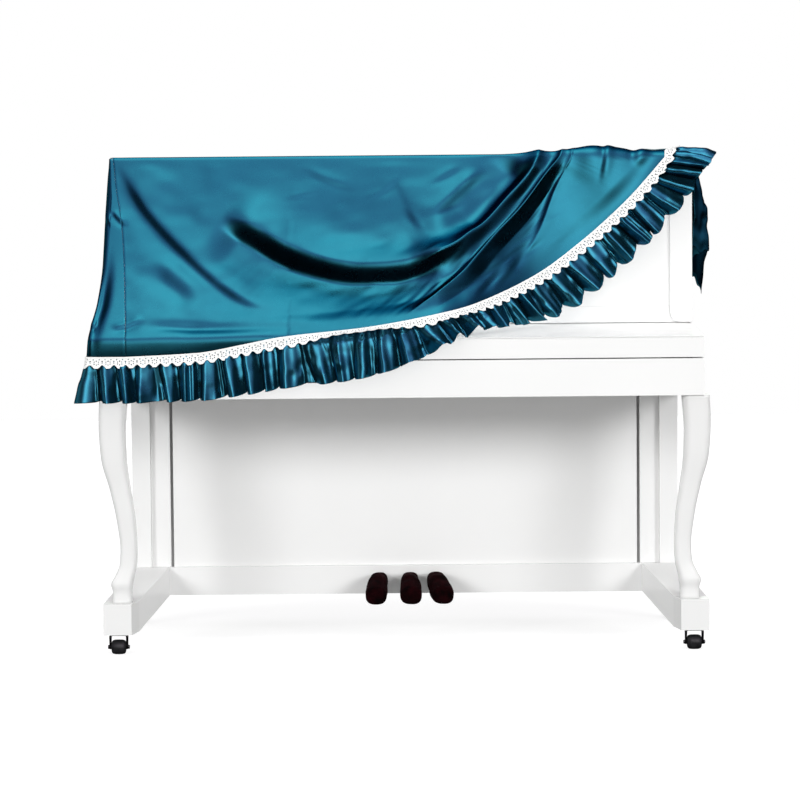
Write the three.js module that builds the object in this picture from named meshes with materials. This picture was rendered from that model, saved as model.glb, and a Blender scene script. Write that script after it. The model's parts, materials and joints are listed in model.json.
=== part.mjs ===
// A satin keyboard dust cover with a gathered ruffle and a lace band, drawn over a plain upright piano.
// Millimetres: X to the right, Y to the back, Z up, with the floor at Z = 0.
// Depths are measured from the front of the case sides, which stands a little behind the origin.
import * as THREE from "three";

// Distance kept between neighbouring pieces
const GAP = 0.3;

// Depth of the case front behind the origin, which is the middle of everything
const CASE_FRONT = 14;

// Piano case
const CASE_HALF = 742;
const LOWER_HALF = 705;
const BOARD = 28;
const CASE_INNER = 698;
const PANEL = 18;
const BACK_Y = 310;
const LID = { half: 746, top: 1240, low: 1216, front: -22, chamfer: 8 };
const PILLAR = { inner: 685, front: -20, low: 808, round: 30 };
const UPPER_PANEL = { front: -14, low: 850 };
const RAIL_END = { turn: 12, steps: 9 };
const BED = { half: 738, front: -310, low: 635, top: 726 };
const FALL = { backTop: 807.5, frontTop: 781, lip: 18, board: 20, overBed: 3 };
const GROOVE = { down: 2, high: 3, deep: 3 };
const LOWER_PANEL = { half: 600, front: 6 };
const STILE = { inner: 608, outer: 657.7 };
const PILASTER = { inner: 658, front: -6 };
const BASE = { low: 111, top: 184, front: -4 };
const TOE_SECTIONS = [
  { y: -305, outer: 750, inner: 680, low: 52, top: 129 },
  { y: -238, outer: 750, inner: 668, low: 52, top: 129 },
  { y: -4.3, outer: 705, inner: 612, low: 111, top: 184 },
];
const REAR_FOOT = { outer: 745, inner: 690, front: 225 };
const CASTER = { radius: 18.8, width: 38, plate: 5, cheek: 3.5, forkDepth: 22, cheekLow: 14, sides: 16 };
const CASTER_PLACES = { front: { x: 716, y: -270 }, rear: { x: 718, y: 268 } };
const FOOT_LOW = 52;

// Curved leg, a row per section: height, middle and half width across, measured on the right leg
const LEG_Y = -272;
const LEG_SIDES = 8;
const LEG = [
  { z: 634.7, x: 720, half: 34 },
  { z: 560, x: 724, half: 32.5 },
  { z: 490, x: 721, half: 31 },
  { z: 411, x: 706, half: 25.5 },
  { z: 337, x: 693, half: 23 },
  { z: 262, x: 687, half: 20.5 },
  { z: 225, x: 689, half: 21 },
  { z: 196, x: 698, half: 24 },
  { z: 175, x: 705, half: 27 },
  { z: 158, x: 704, half: 23.5 },
  { z: 129.3, x: 704, half: 24 },
];

// Pedal socks: where each starts and how far its toe leans to the side
const SOCKS = [
  { x: -68, lean: -9 },
  { x: 10, lean: 3 },
  { x: 75, lean: 20 },
];

// Pedal sock, a row per section from the base rail to the toe: depth, middle height, half sizes, lean share
const SOCK_SIDES = 8;
const SOCK = [
  { y: -4.3, z: 150, halfX: 17, halfZ: 17, lean: 0 },
  { y: -34, z: 150, halfX: 20, halfZ: 23, lean: 0.1 },
  { y: -66, z: 140, halfX: 23, halfZ: 30, lean: 0.5 },
  { y: -96, z: 124, halfX: 28, halfZ: 28, lean: 0.9 },
  { y: -118, z: 119, halfX: 20, halfZ: 17, lean: 1 },
];

// Cover: x runs across, q runs down the cloth from the lid's front edge and is negative over the lid
const CLOTH = 2;
const LIE = GAP + CLOTH / 2;
const EDGE_CLEAR = 3.5;
const EDGE = { y: LID.front - EDGE_CLEAR, z: LID.top + LIE };
const KNEE = { y: -321, z: 786, tuck: 0.05 };
const TURN = { lid: 8, knee: 22 };
const HEAP_TURN = { lid: 26, x: 545, reach: 95 };
const LID_RUN = BACK_Y + EDGE_CLEAR - EDGE.y;
const BACK_FALL = 60;
const SAG = { depth: 14, right: 300, reach: 400 };
const LIFT = { left: 600, reach: 80 };
const PANEL_COLUMNS = 72;
const FRONT_ROWS = 17;
const BACK_ROWS = [-LID_RUN - BACK_FALL, -LID_RUN - 10, -LID_RUN, -LID_RUN + 10];
const LID_ROWS = [-240, -160, -90, -45, -18, -6];
const HEM_CALM = 75;

// Front hem, a row per station from left to right
const HEM = [
  { x: -790, y: -322, z: 736 },
  { x: -510, y: -322, z: 748 },
  { x: -400, y: -322, z: 766 },
  { x: -300, y: -322, z: 784 },
  { x: -96, y: -321, z: 805 },
  { x: 80, y: -305, z: 836 },
  { x: 150, y: -266, z: 852 },
  { x: 220, y: -206, z: 877 },
  { x: 338, y: -122, z: 933 },
  { x: 454, y: -78, z: 1015 },
  { x: 570, y: -60, z: 1117 },
  { x: 672, y: -34, z: 1226 },
];
const HEM_END = 672;

// Seam between panel and gusset, and the cover's left corner, a row per drop
const LEFT = [
  { q: -30, seam: -750.5, corner: -749.5 },
  { q: 0, seam: -741, corner: -749.5 },
  { q: 100, seam: -727, corner: -752 },
  { q: 180, seam: -712, corner: -753 },
  { q: 311, seam: -699, corner: -753 },
  { q: 430, seam: -691, corner: -761 },
  { q: 510, seam: -686, corner: -774 },
  { q: 590, seam: -684, corner: -781 },
];

// Columns of the panel's grid, which lean with the folds: where each meets the lid's edge and the hem
const GRAIN = [
  { column: 0, top: -741, foot: -684 },
  { column: 12, top: -440, foot: -420 },
  { column: 22, top: -120, foot: -230 },
  { column: 38, top: 346, foot: -60 },
  { column: 46, top: 414, foot: 10 },
  { column: 58, top: 436, foot: 290 },
  { column: 66, top: 552, foot: 500 },
  { column: PANEL_COLUMNS, top: HEM_END, foot: HEM_END },
];

// Right edge of the panel over the lid, a row per distance back from the front edge
const LID_EDGE = [
  { back: 0, x: HEM_END, lift: 3 },
  { back: 25, x: 686, lift: 9 },
  { back: 60, x: 692, lift: 12 },
  { back: 300, x: 700, lift: 12 },
  { back: 340, x: 700, lift: 0 },
];

// Folds, a row each: a line in (x, q) with a crest, a hollow or both, and the lengths in which its ends fade.
// A crest or hollow has its place across the line, counted to the right of the line's way, seen from outside,
// and its width before and past that place.
const FOLDS = [
  {
    name: "swag",
    line: [[-436, 208], [-300, 304], [-175, 352], [-60, 366], [40, 354], [110, 318]],
    crest: { height: 8, at: -44, before: 45, past: 20 },
    hollow: { height: -24, at: 6, before: 24, past: 85 },
    fade: { start: 90, end: 150 },
  },
  {
    name: "swag back",
    line: [[-436, 208], [-300, 304], [-175, 352], [-60, 366], [40, 354], [110, 318]],
    hollow: { height: -7, at: -92, before: 80, past: 45 },
    fade: { start: 120, end: 150 },
  },
  {
    name: "corner",
    line: [[-738, 0], [-678, 116], [-635, 183], [-548, 287], [-463, 376], [-385, 434], [-311, 457]],
    crest: { height: 4.2, at: -9, before: 52, past: 16 },
    hollow: { height: -3.5, at: 8, before: 14, past: 42 },
    fade: { start: 170, end: 120 },
  },
  {
    name: "corner shade",
    line: [[-640, 305], [-575, 372], [-500, 436]],
    crest: { height: 4, at: -26, before: 30, past: 30 },
    hollow: { height: -5, at: 12, before: 30, past: 30 },
    fade: { start: 70, end: 70 },
  },
  {
    name: "first ridge",
    line: [[20, 338], [90, 311], [136, 280], [200, 219], [227, 184], [264, 131], [324, 35], [340, -30]],
    crest: { height: 30, at: 0, before: 40, past: 16 },
    hollow: { height: -14, at: 27, before: 16, past: 22 },
    fade: { start: 130, end: 80 },
  },
  {
    name: "second ridge",
    line: [[-10, 500], [90, 417], [159, 341], [228, 244], [299, 155], [364, 63], [404, 10], [416, -30]],
    crest: { height: 26, at: 0, before: 21, past: 17 },
    hollow: { height: -15, at: 29, before: 16, past: 20 },
    fade: { start: 80, end: 70 },
  },
  {
    name: "third ridge",
    line: [[285, 320], [319, 259], [354, 190], [386, 105], [417, 43], [433, 8], [442, -40]],
    crest: { height: 19, at: 0, before: 20, past: 38 },
    fade: { start: 75, end: 85 },
  },
  {
    name: "heap on the lid",
    line: [[540, -230], [522, 0], [505, 120], [480, 260]],
    crest: { height: 18, at: 0, before: 80, past: 125 },
    fade: { start: 75, end: 270 },
  },
  {
    name: "bunched fold",
    line: [[500, -230], [482, 0], [470, 90]],
    crest: { height: 4, at: 0, before: 32, past: 32 },
    fade: { start: 75, end: 90 },
  },
  {
    name: "narrow pleat",
    line: [[556, -230], [526, 0], [518, 50], [512, 95]],
    crest: { height: 3, at: 0, before: 16, past: 12 },
    fade: { start: 75, end: 60 },
  },
  {
    name: "end pleat",
    line: [[650, -200], [612, 0], [594, 45]],
    crest: { height: 6, at: 0, before: 20, past: 16 },
    fade: { start: 75, end: 40 },
  },
  {
    name: "upper fan",
    line: [[212, 402], [256, 328], [300, 256]],
    crest: { height: 4, at: 0, before: 18, past: 10 },
    hollow: { height: -3, at: 16, before: 10, past: 14 },
    fade: { start: 60, end: 60 },
  },
  {
    name: "lower fan",
    line: [[160, 436], [204, 362], [248, 298]],
    crest: { height: 4, at: 0, before: 18, past: 10 },
    hollow: { height: -3, at: 16, before: 10, past: 14 },
    fade: { start: 60, end: 60 },
  },
  {
    name: "keyboard hollow",
    line: [[-665, 498], [-577, 505], [-400, 514], [-170, 518], [30, 500]],
    hollow: { height: -5, at: 0, before: 17, past: 16 },
    fade: { start: 110, end: 180 },
  },
];
const FOLD_STEPS = 36;

// Gusset on the left side
const GUSSET = { top: LID.top - 0.4, firstDrop: 8, back: BACK_Y - 8, backX: -766, round: 14, rise: 40 };
const GUSSET_ROWS = 18;
const GUSSET_FRONT = [0, 0.3, 0.6, 0.85, 1];
const GUSSET_TURN = [0.2, 0.4, 0.6, 0.8];
const GUSSET_SIDE = [0, 0.06, 0.13, 0.22, 0.35, 0.5, 0.67, 0.84, 1];
const CORNER_CREASE = { drop: 440, reach: 95, depth: 11, width: 14 };

// Ruffle, gathered along the whole hem, which starts at the left back
const RUFFLE = { thick: 1.5, pleat: 53, head: 2.6, foot: 9.5, tuck: -3.6, flare: 3, start: 1.1, rows: 3 };
const RUFFLE_STEP = 11;
const PLEAT_WAVES = [
  { length: 131, shift: 0, size: 0.2 },
  { length: 57, shift: 1, size: 0.12 },
];
const PLEAT_FOLD = { size: 0.28, shift: 0.8 };

// Fall of the ruffle from hem to lower edge, a row per share of the hem's length
const RUFFLE_FALL = [
  { share: 0, x: -2, y: 0, z: -107 },
  { share: 0.2, x: -2, y: 0, z: -107 },
  { share: 0.235, x: -4, y: -6, z: -108 },
  { share: 0.34, x: 5, y: -4, z: -112 },
  { share: 0.41, x: 10, y: -4, z: -119 },
  { share: 0.49, x: 16, y: -6, z: -111 },
  { share: 0.555, x: 28, y: -24, z: -82 },
  { share: 0.58, x: 38, y: -38, z: -58 },
  { share: 0.6, x: 36, y: -36, z: -52 },
  { share: 0.64, x: 41, y: 0, z: -70 },
  { share: 0.7, x: 64, y: 26, z: -88 },
  { share: 0.76, x: 73, y: 4, z: -80 },
  { share: 0.82, x: 79, y: -4, z: -69 },
  { share: 0.85, x: 90, y: -8, z: -55 },
  { share: 0.87, x: 106, y: -12, z: -8 },
  { share: 0.885, x: 108, y: -6, z: -3 },
  { share: 1, x: 106, y: 0, z: -3 },
];

// Reach over which the hem's way is taken, so that it turns softly, and its stations over the lid
const HEM_REACH = 14;
const HEM_ON_LID = [6, 12, 18, 25, 33, 42, 60, 90, 130, 180, 230, 270, 300];

// Lace band on the seam between panel and ruffle
const LACE = { thick: 1, above: 2, deep: 27, notch: 8, scallop: 28.5, stand: 4.2, flare: 8 };
const SCALLOP_STEPS = 2;

// Right tail: where it lies on the lid, then a row per height where it hangs
const TAIL = { start: 706, turn: 751, bend: 4, front: 22, back: 138, folds: 1.5, columns: 16 };
const TAIL_ROWS = [
  { z: 1226, outer: 756 },
  { z: 1190, outer: 766 },
  { z: 1150, outer: 775 },
  { z: 1100, outer: 784 },
  { z: 1050, outer: 790 },
  { z: 1000, outer: 794 },
  { z: 965, outer: 788 },
  { z: 930, outer: 785 },
];
const TAIL_INNER = 752;
const TAIL_TIP = { drop: 50, middle: 0.45, narrowing: 0.35 };

const SATIN = { color: 0x2b7a9b, roughness: 0.38, metalness: 0.3 };
const LACE_WHITE = { color: 0xf4f3ee, roughness: 0.8, metalness: 0 };
const LACQUER = { color: 0xf3f2ef, roughness: 0.16, metalness: 0 };
const STEEL = { color: 0xb9bcc0, roughness: 0.3, metalness: 1 };
const RUBBER = { color: 0x161618, roughness: 0.55, metalness: 0 };
const SOCK_CLOTH = { color: 0x3a0d16, roughness: 0.9, metalness: 0 };

const part = new THREE.Group();

function add(name, geometry, finish) {
  const mesh = new THREE.Mesh(geometry, new THREE.MeshStandardMaterial(finish));
  mesh.name = name;
  geometry.translate(0, CASE_FRONT, 0);
  part.add(mesh);
}

function box(name, xs, ys, zs, finish = LACQUER) {
  const geometry = new THREE.BoxGeometry(xs[1] - xs[0], ys[1] - ys[0], zs[1] - zs[0]);
  geometry.translate((xs[0] + xs[1]) / 2, (ys[0] + ys[1]) / 2, (zs[0] + zs[1]) / 2);
  add(name, geometry, finish);
}

// A box on each side of the middle, given by its distances from it
function boxPair(name, inner, outer, ys, zs) {
  box(`${name}_left`, [-outer, -inner], ys, zs);
  box(`${name}_right`, [inner, outer], ys, zs);
}

function smoothStep(value) {
  const share = THREE.MathUtils.clamp(value, 0, 1);
  return share * share * (3 - 2 * share);
}

// A smooth curve through one column of a table, without overshoot and held level past its ends
function follow(table, key, column) {
  const keys = table.map((row) => row[key]);
  const values = table.map((row) => row[column]);
  const last = keys.length - 1;
  const rise = (i) => (values[i + 1] - values[i]) / (keys[i + 1] - keys[i]);
  const slopes = keys.map((_, i) => {
    if (i === 0) return rise(0);
    if (i === last) return rise(last - 1);
    const [before, after] = [rise(i - 1), rise(i)];
    return before * after > 0 ? (2 * before * after) / (before + after) : 0;
  });
  return (at) => {
    const inside = THREE.MathUtils.clamp(at, keys[0], keys[last]);
    const next = Math.max(keys.findIndex((k) => k >= inside), 1);
    const i = next - 1;
    const span = keys[next] - keys[i];
    const t = (inside - keys[i]) / span;
    return (
      (1 + 2 * t) * (1 - t) ** 2 * values[i] +
      t * (1 - t) ** 2 * span * slopes[i] +
      t * t * (3 - 2 * t) * values[next] +
      t * t * (t - 1) * span * slopes[next]
    );
  };
}

// Closes a set of equal rings of points with a fan at each end
function loft(rings) {
  const sides = rings[0].length;
  const points = rings.flat();
  const centre = (ring) => ring.reduce((sum, p) => sum.add(p), new THREE.Vector3()).divideScalar(sides);
  const first = points.push(centre(rings[0])) - 1;
  const last = points.push(centre(rings[rings.length - 1])) - 1;
  const top = (rings.length - 1) * sides;
  const faces = [];
  for (let k = 0; k < sides; k++) {
    const next = (k + 1) % sides;
    faces.push(first, next, k, last, top + k, top + next);
    for (let i = 0; i < top; i += sides) {
      faces.push(i + k, i + next, i + sides + next, i + k, i + sides + next, i + sides + k);
    }
  }
  return new THREE.BufferGeometry().setFromPoints(points).setIndex(faces);
}

// A sheet of cloth: a grid of points thickened to both sides and closed along its four edges
function sheet(grid, thickness) {
  const rows = grid.length;
  const columns = grid[0].length;
  const at = (i, j) =>
    grid[THREE.MathUtils.clamp(i, 0, rows - 1)][THREE.MathUtils.clamp(j, 0, columns - 1)];
  const points = [];
  for (const side of [0.5, -0.5]) {
    for (let i = 0; i < rows; i++) {
      for (let j = 0; j < columns; j++) {
        const down = at(i + 1, j).clone().sub(at(i - 1, j));
        const across = at(i, j + 1).clone().sub(at(i, j - 1));
        const normal = down.cross(across).normalize();
        points.push(at(i, j).clone().addScaledVector(normal, side * thickness));
      }
    }
  }
  const outer = (i, j) => i * columns + j;
  const inner = (i, j) => rows * columns + outer(i, j);
  const faces = [];
  const quad = (a, b, c, d) => faces.push(a, b, c, a, c, d);
  for (let i = 0; i + 1 < rows; i++) {
    for (let j = 0; j + 1 < columns; j++) {
      quad(outer(i, j), outer(i + 1, j), outer(i + 1, j + 1), outer(i, j + 1));
      quad(inner(i, j), inner(i, j + 1), inner(i + 1, j + 1), inner(i + 1, j));
    }
    const end = columns - 1;
    quad(outer(i + 1, 0), outer(i, 0), inner(i, 0), inner(i + 1, 0));
    quad(outer(i, end), outer(i + 1, end), inner(i + 1, end), inner(i, end));
  }
  for (let j = 0; j + 1 < columns; j++) {
    const end = rows - 1;
    quad(outer(0, j), outer(0, j + 1), inner(0, j + 1), inner(0, j));
    quad(outer(end, j + 1), outer(end, j), inner(end, j), inner(end, j + 1));
  }
  return new THREE.BufferGeometry().setFromPoints(points).setIndex(faces);
}

// A section drawn in depth and height, drawn out along X
function alongX(outline, from, to) {
  const geometry = new THREE.ExtrudeGeometry(outline, { depth: to - from, bevelEnabled: false });
  const axes = new THREE.Matrix4().makeBasis(
    new THREE.Vector3(0, 1, 0),
    new THREE.Vector3(0, 0, 1),
    new THREE.Vector3(1, 0, 0),
  );
  return geometry.applyMatrix4(axes.setPosition(from, 0, 0));
}

// An outline drawn across and in height, drawn out along Y from front to back
function alongY(outline, front, back) {
  const geometry = new THREE.ExtrudeGeometry(outline, { depth: back - front, bevelEnabled: false });
  return geometry.rotateX(Math.PI / 2).translate(0, back, 0);
}

function outlineOf(points) {
  return new THREE.Shape(points.map(([across, up]) => new THREE.Vector2(across, up)));
}

// Piano case
function addLid() {
  const { top, low, front, chamfer, half } = LID;
  const outline = outlineOf([
    [front, low],
    [BACK_Y, low],
    [BACK_Y, top - chamfer],
    [BACK_Y - chamfer, top],
    [front + chamfer, top],
    [front, top - chamfer],
  ]);
  add("lid", alongX(outline, -half, half), LACQUER);
}

function addPillar(name, side) {
  const { inner, front, low, round } = PILLAR;
  const top = LID.low - GAP;
  const outline = new THREE.Shape();
  outline.moveTo(side * CASE_HALF, low);
  outline.lineTo(side * CASE_HALF, top);
  outline.lineTo(side * (inner + GAP), top);
  outline.lineTo(side * (inner + GAP), low + round);
  outline.quadraticCurveTo(side * (inner + GAP), low, side * (inner + GAP + round), low);
  add(name, alongY(outline, front, -GAP), LACQUER);
}

// The rail over the fall, whose ends run out under the rounded corners of the pillars
function addRail() {
  const { low, round } = PILLAR;
  const inner = PILLAR.inner - GAP;
  const right = [[inner, UPPER_PANEL.low - GAP]];
  for (let k = 0; k <= RAIL_END.steps; k++) {
    const turn = k / RAIL_END.turn;
    right.push([inner + round * turn ** 2, low + round * (1 - turn) ** 2]);
  }
  right.push([right[right.length - 1][0], low]);
  const left = right.map(([across, up]) => [-across, up]).reverse();
  add("hinge_rail", alongY(outlineOf([...right, ...left]), UPPER_PANEL.front, -GAP), LACQUER);
}

function addFall() {
  const { backTop, frontTop, lip, board, overBed } = FALL;
  const bottom = BED.top + overBed;
  const groove = { top: frontTop - GROOVE.down, low: frontTop - GROOVE.down - GROOVE.high };
  const outline = outlineOf([
    [0, backTop],
    [BED.front, frontTop],
    [BED.front, groove.top],
    [BED.front + GROOVE.deep, groove.top],
    [BED.front + GROOVE.deep, groove.low],
    [BED.front, groove.low],
    [BED.front, bottom],
    [BED.front + lip, bottom],
    [BED.front + lip, frontTop - board],
    [0, backTop - board],
  ]);
  add("fall", alongX(outline, -BED.half, BED.half), LACQUER);
}

// Closes the key well at one end, between key bed and fall
function addCheek(name, from) {
  const { backTop, frontTop, lip, board } = FALL;
  const low = BED.top + GAP;
  const front = BED.front + lip + GAP;
  const outline = outlineOf([
    [front, low],
    [-GAP, low],
    [-GAP, backTop - board - 2 * GAP],
    [front, frontTop - board - GAP],
  ]);
  add(name, alongX(outline, from, from + BOARD), LACQUER);
}

function addCase() {
  const behind = PILASTER.front + PANEL + LOWER_PANEL.front + GAP;
  const underLid = LID.low - GAP;
  const underBed = BED.low - GAP;
  addLid();
  boxPair("case_side", CASE_INNER, CASE_HALF, [0, BACK_Y], [BED.low, underLid]);
  boxPair("lower_side", LOWER_HALF - BOARD, LOWER_HALF, [behind, BACK_Y], [BASE.low, underBed]);
  const backDepth = [BACK_Y - PANEL, BACK_Y];
  const upperBack = CASE_INNER - GAP;
  const lowerBack = LOWER_HALF - BOARD - GAP;
  box("upper_back", [-upperBack, upperBack], backDepth, [BED.low, underLid]);
  box("lower_back", [-lowerBack, lowerBack], backDepth, [BASE.low, underBed]);
  const upperDepth = [UPPER_PANEL.front, UPPER_PANEL.front + PANEL];
  box("upper_panel", [-PILLAR.inner, PILLAR.inner], upperDepth, [UPPER_PANEL.low, underLid]);
  addRail();
  addPillar("pillar_left", -1);
  addPillar("pillar_right", 1);
  addFall();
  addCheek("cheek_left", -BED.half);
  addCheek("cheek_right", BED.half - BOARD);
  box("key_bed", [-BED.half, BED.half], [BED.front, -GAP], [BED.low, BED.top]);
  const panelDepth = [LOWER_PANEL.front, behind - GAP];
  const stand = [BASE.top + GAP, underBed];
  box("lower_panel", [-LOWER_PANEL.half, LOWER_PANEL.half], panelDepth, stand);
  boxPair("stile", STILE.inner, STILE.outer, panelDepth, stand);
  boxPair("pilaster", PILASTER.inner, LOWER_HALF, [PILASTER.front, behind - GAP], stand);
  box("base_rail", [-LOWER_HALF, LOWER_HALF], [BASE.front, behind - GAP], [BASE.low, BASE.top]);
}

// Feet, legs and casters
function addToe(name, side) {
  const rings = TOE_SECTIONS.map(({ y, outer, inner, low, top }) => {
    const corners = [[outer, low], [inner, low], [inner, top], [outer, top]];
    const points = corners.map(([across, up]) => new THREE.Vector3(side * across, y, up));
    return side < 0 ? points.reverse() : points;
  });
  add(name, loft(rings), LACQUER);
}

function addLeg(name, side) {
  const rings = LEG.map(({ z, x, half }) => {
    const ring = [];
    for (let k = 0; k < LEG_SIDES; k++) {
      const angle = (2 * Math.PI * (k + 0.5)) / LEG_SIDES;
      const square = half * Math.pow(Math.abs(Math.cos(angle)) ** 4 + Math.abs(Math.sin(angle)) ** 4, -0.25);
      ring.push(
        new THREE.Vector3(side * x + square * Math.cos(angle), LEG_Y + square * Math.sin(angle), z),
      );
    }
    return ring;
  });
  add(name, loft(rings.reverse()), LACQUER);
}

function addCaster(name, x, y) {
  const { radius, width, plate, cheek, forkDepth, cheekLow, sides } = CASTER;
  const wheel = new THREE.CylinderGeometry(radius, radius, width, sides);
  const apothem = radius * Math.cos(Math.PI / sides);
  wheel.rotateY(Math.PI / sides).rotateZ(Math.PI / 2).translate(x, y, apothem);
  add(`${name}_wheel`, wheel, RUBBER);
  const top = FOOT_LOW - GAP;
  const inner = width / 2 + GAP;
  const outer = inner + cheek;
  const under = top - plate;
  const fork = outlineOf([
    [x - outer, cheekLow],
    [x - inner, cheekLow],
    [x - inner, under],
    [x + inner, under],
    [x + inner, cheekLow],
    [x + outer, cheekLow],
    [x + outer, top],
    [x - outer, top],
  ]);
  add(`${name}_fork`, alongY(fork, y - forkDepth / 2, y + forkDepth / 2), STEEL);
}

function addSock(name, sock) {
  const rings = SOCK.map(({ y, z, halfX, halfZ, lean }) => {
    const ring = [];
    const x = sock.x + sock.lean * lean;
    for (let k = 0; k < SOCK_SIDES; k++) {
      const angle = (-2 * Math.PI * k) / SOCK_SIDES;
      ring.push(new THREE.Vector3(x + halfX * Math.cos(angle), y, z + halfZ * Math.sin(angle)));
    }
    return ring;
  });
  add(name, loft(rings.reverse()), SOCK_CLOTH);
}

function addFeet() {
  const { outer, inner, front } = REAR_FOOT;
  boxPair("rear_foot", inner, outer, [front, BACK_Y], [FOOT_LOW, BASE.low - GAP]);
  for (const [end, side] of [["left", -1], ["right", 1]]) {
    addToe(`toe_${end}`, side);
    addLeg(`leg_${end}`, side);
    for (const [place, { x, y }] of Object.entries(CASTER_PLACES)) {
      addCaster(`caster_${place}_${end}`, side * x, y);
    }
  }
  SOCKS.forEach((sock, k) => addSock(`pedal_sock_${k + 1}`, sock));
}

// Cover: the plain drape, before its folds
const hemY = follow(HEM, "x", "y");
const hemZ = follow(HEM, "x", "z");
const seamX = follow(LEFT, "q", "seam");
const cornerX = follow(LEFT, "q", "corner");
const grainTop = follow(GRAIN, "column", "top");
const grainFoot = follow(GRAIN, "column", "foot");
const lidEdgeX = follow(LID_EDGE, "back", "x");
const lidEdgeLift = follow(LID_EDGE, "back", "lift");

// Zero before a turn and the distance past it after, rounded over the turn's reach
function ramp(distance, reach) {
  if (distance < -reach) return 0;
  if (distance > reach) return distance;
  return (distance + reach) ** 2 / (4 * reach);
}

// Depth and height of the drape at one place across: lid, slope to the knee, then straight down
function slopeAt(x) {
  const over = Math.max(KNEE.z - hemZ(x), 0);
  const foot = over > 0 ? KNEE : { y: hemY(x), z: hemZ(x) };
  const way = new THREE.Vector2(foot.y - EDGE.y, foot.z - EDGE.z);
  const length = way.length();
  return { over, length, way: way.divideScalar(length) };
}

function hemDrop(x) {
  const { over, length } = slopeAt(x);
  return length + over;
}

// Reach of the turn over the lid's front edge, softer where the cloth lies heaped
function lidTurn(x) {
  return THREE.MathUtils.lerp(TURN.lid, HEAP_TURN.lid, bump(x - HEAP_TURN.x, HEAP_TURN.reach));
}

function profile(x, q) {
  const { over, length, way } = slopeAt(x);
  const pastLid = ramp(q, lidTurn(x));
  const pastKnee = over > 0 ? ramp(q - length, Math.min(TURN.knee, over)) : 0;
  const pastBack = ramp(-LID_RUN - q, TURN.lid);
  const y = EDGE.y - q + (way.x + 1) * pastLid + (KNEE.tuck - way.x) * pastKnee - pastBack;
  const z = EDGE.z + way.y * pastLid - (1 + way.y) * pastKnee - pastBack;
  return new THREE.Vector3(x, y, z);
}

// Points along a fold's line, with the distance run so far
const foldLines = FOLDS.map((fold) => {
  const curve = new THREE.SplineCurve(fold.line.map(([x, q]) => new THREE.Vector2(x, q)));
  const points = curve.getPoints(FOLD_STEPS);
  const runs = [0];
  for (let k = 1; k < points.length; k++) {
    runs.push(runs[k - 1] + points[k].distanceTo(points[k - 1]));
  }
  return { ...fold, points, runs };
});

function bump(distance, width) {
  return Math.exp(-((distance / width) ** 2));
}

// Height of a fold's crest or hollow at a distance across its line
function ripple(form, across) {
  if (!form) return 0;
  const offset = across - form.at;
  return form.height * bump(offset, offset < 0 ? form.before : form.past);
}

// Height of one fold over the drape
function foldHeight({ points, runs, crest, hollow, fade }, x, q) {
  let nearest = { distance: Infinity };
  for (let k = 1; k < points.length; k++) {
    const from = points[k - 1];
    const way = points[k].clone().sub(from);
    const offset = new THREE.Vector2(x, q).sub(from);
    const share = THREE.MathUtils.clamp(offset.dot(way) / way.lengthSq(), 0, 1);
    const side = Math.sign(way.cross(offset)) || 1;
    const distance = offset.addScaledVector(way, -share).length();
    if (distance < nearest.distance) {
      nearest = { distance, side, run: runs[k - 1] + share * (runs[k] - runs[k - 1]) };
    }
  }
  const across = nearest.side * nearest.distance;
  const left = runs[runs.length - 1] - nearest.run;
  const strength = smoothStep(nearest.run / fade.start) * smoothStep(left / fade.end);
  return strength * (ripple(crest, across) + ripple(hollow, across));
}

// Height of all folds over the drape, no deeper than the room behind the cloth
function liftAt(x, q) {
  const room = Math.max(LID.front - EDGE_CLEAR - profile(x, q).y, 0);
  const sag = -SAG.depth * Math.sin(Math.PI * THREE.MathUtils.clamp(q / hemDrop(x), 0, 1));
  const slack = smoothStep((SAG.right - x) / SAG.reach) * sag;
  const edge = lidEdgeLift(-q) * smoothStep((x - LIFT.left) / LIFT.reach);
  const folds = foldLines.reduce((sum, fold) => sum + foldHeight(fold, x, q), slack);
  const calm = smoothStep((hemDrop(x) - q) / HEM_CALM);
  return Math.max(calm * folds + edge, q > 0 ? -room : 0);
}

// A point of the cover's top and front, with its folds
function drapePoint(x, q) {
  const way = profile(x, q + 1).sub(profile(x, q - 1));
  const outward = new THREE.Vector3(0, way.z, -way.y).normalize();
  return profile(x, q).addScaledVector(outward, liftAt(x, q));
}

// Main panel: places on the lid and on the front by column, the front ones by their share of the way down
function lidX(column, q) {
  const share = (grainTop(column) - GRAIN[0].top) / (HEM_END - GRAIN[0].top);
  return THREE.MathUtils.lerp(seamX(q), lidEdgeX(-q), share);
}

function frontPlace(column, down) {
  const foot = grainFoot(column);
  const q = hemDrop(foot) * down;
  const straight = THREE.MathUtils.lerp(grainTop(column), foot, down);
  const seamShift = seamX(q) - THREE.MathUtils.lerp(GRAIN[0].top, GRAIN[0].foot, down);
  return { x: straight + seamShift * (1 - column / PANEL_COLUMNS) ** 4, q };
}

function panelGrid() {
  const grid = [...BACK_ROWS, ...LID_ROWS].map((q) => {
    const row = [];
    for (let j = 0; j <= PANEL_COLUMNS; j++) {
      row.push(drapePoint(lidX(j, q), q));
    }
    return row;
  });
  for (let i = 0; i <= FRONT_ROWS; i++) {
    const row = [];
    for (let j = 0; j <= PANEL_COLUMNS; j++) {
      const { x, q } = frontPlace(j, i / FRONT_ROWS);
      row.push(drapePoint(x, q));
    }
    grid.push(row);
  }
  return grid;
}

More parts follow.
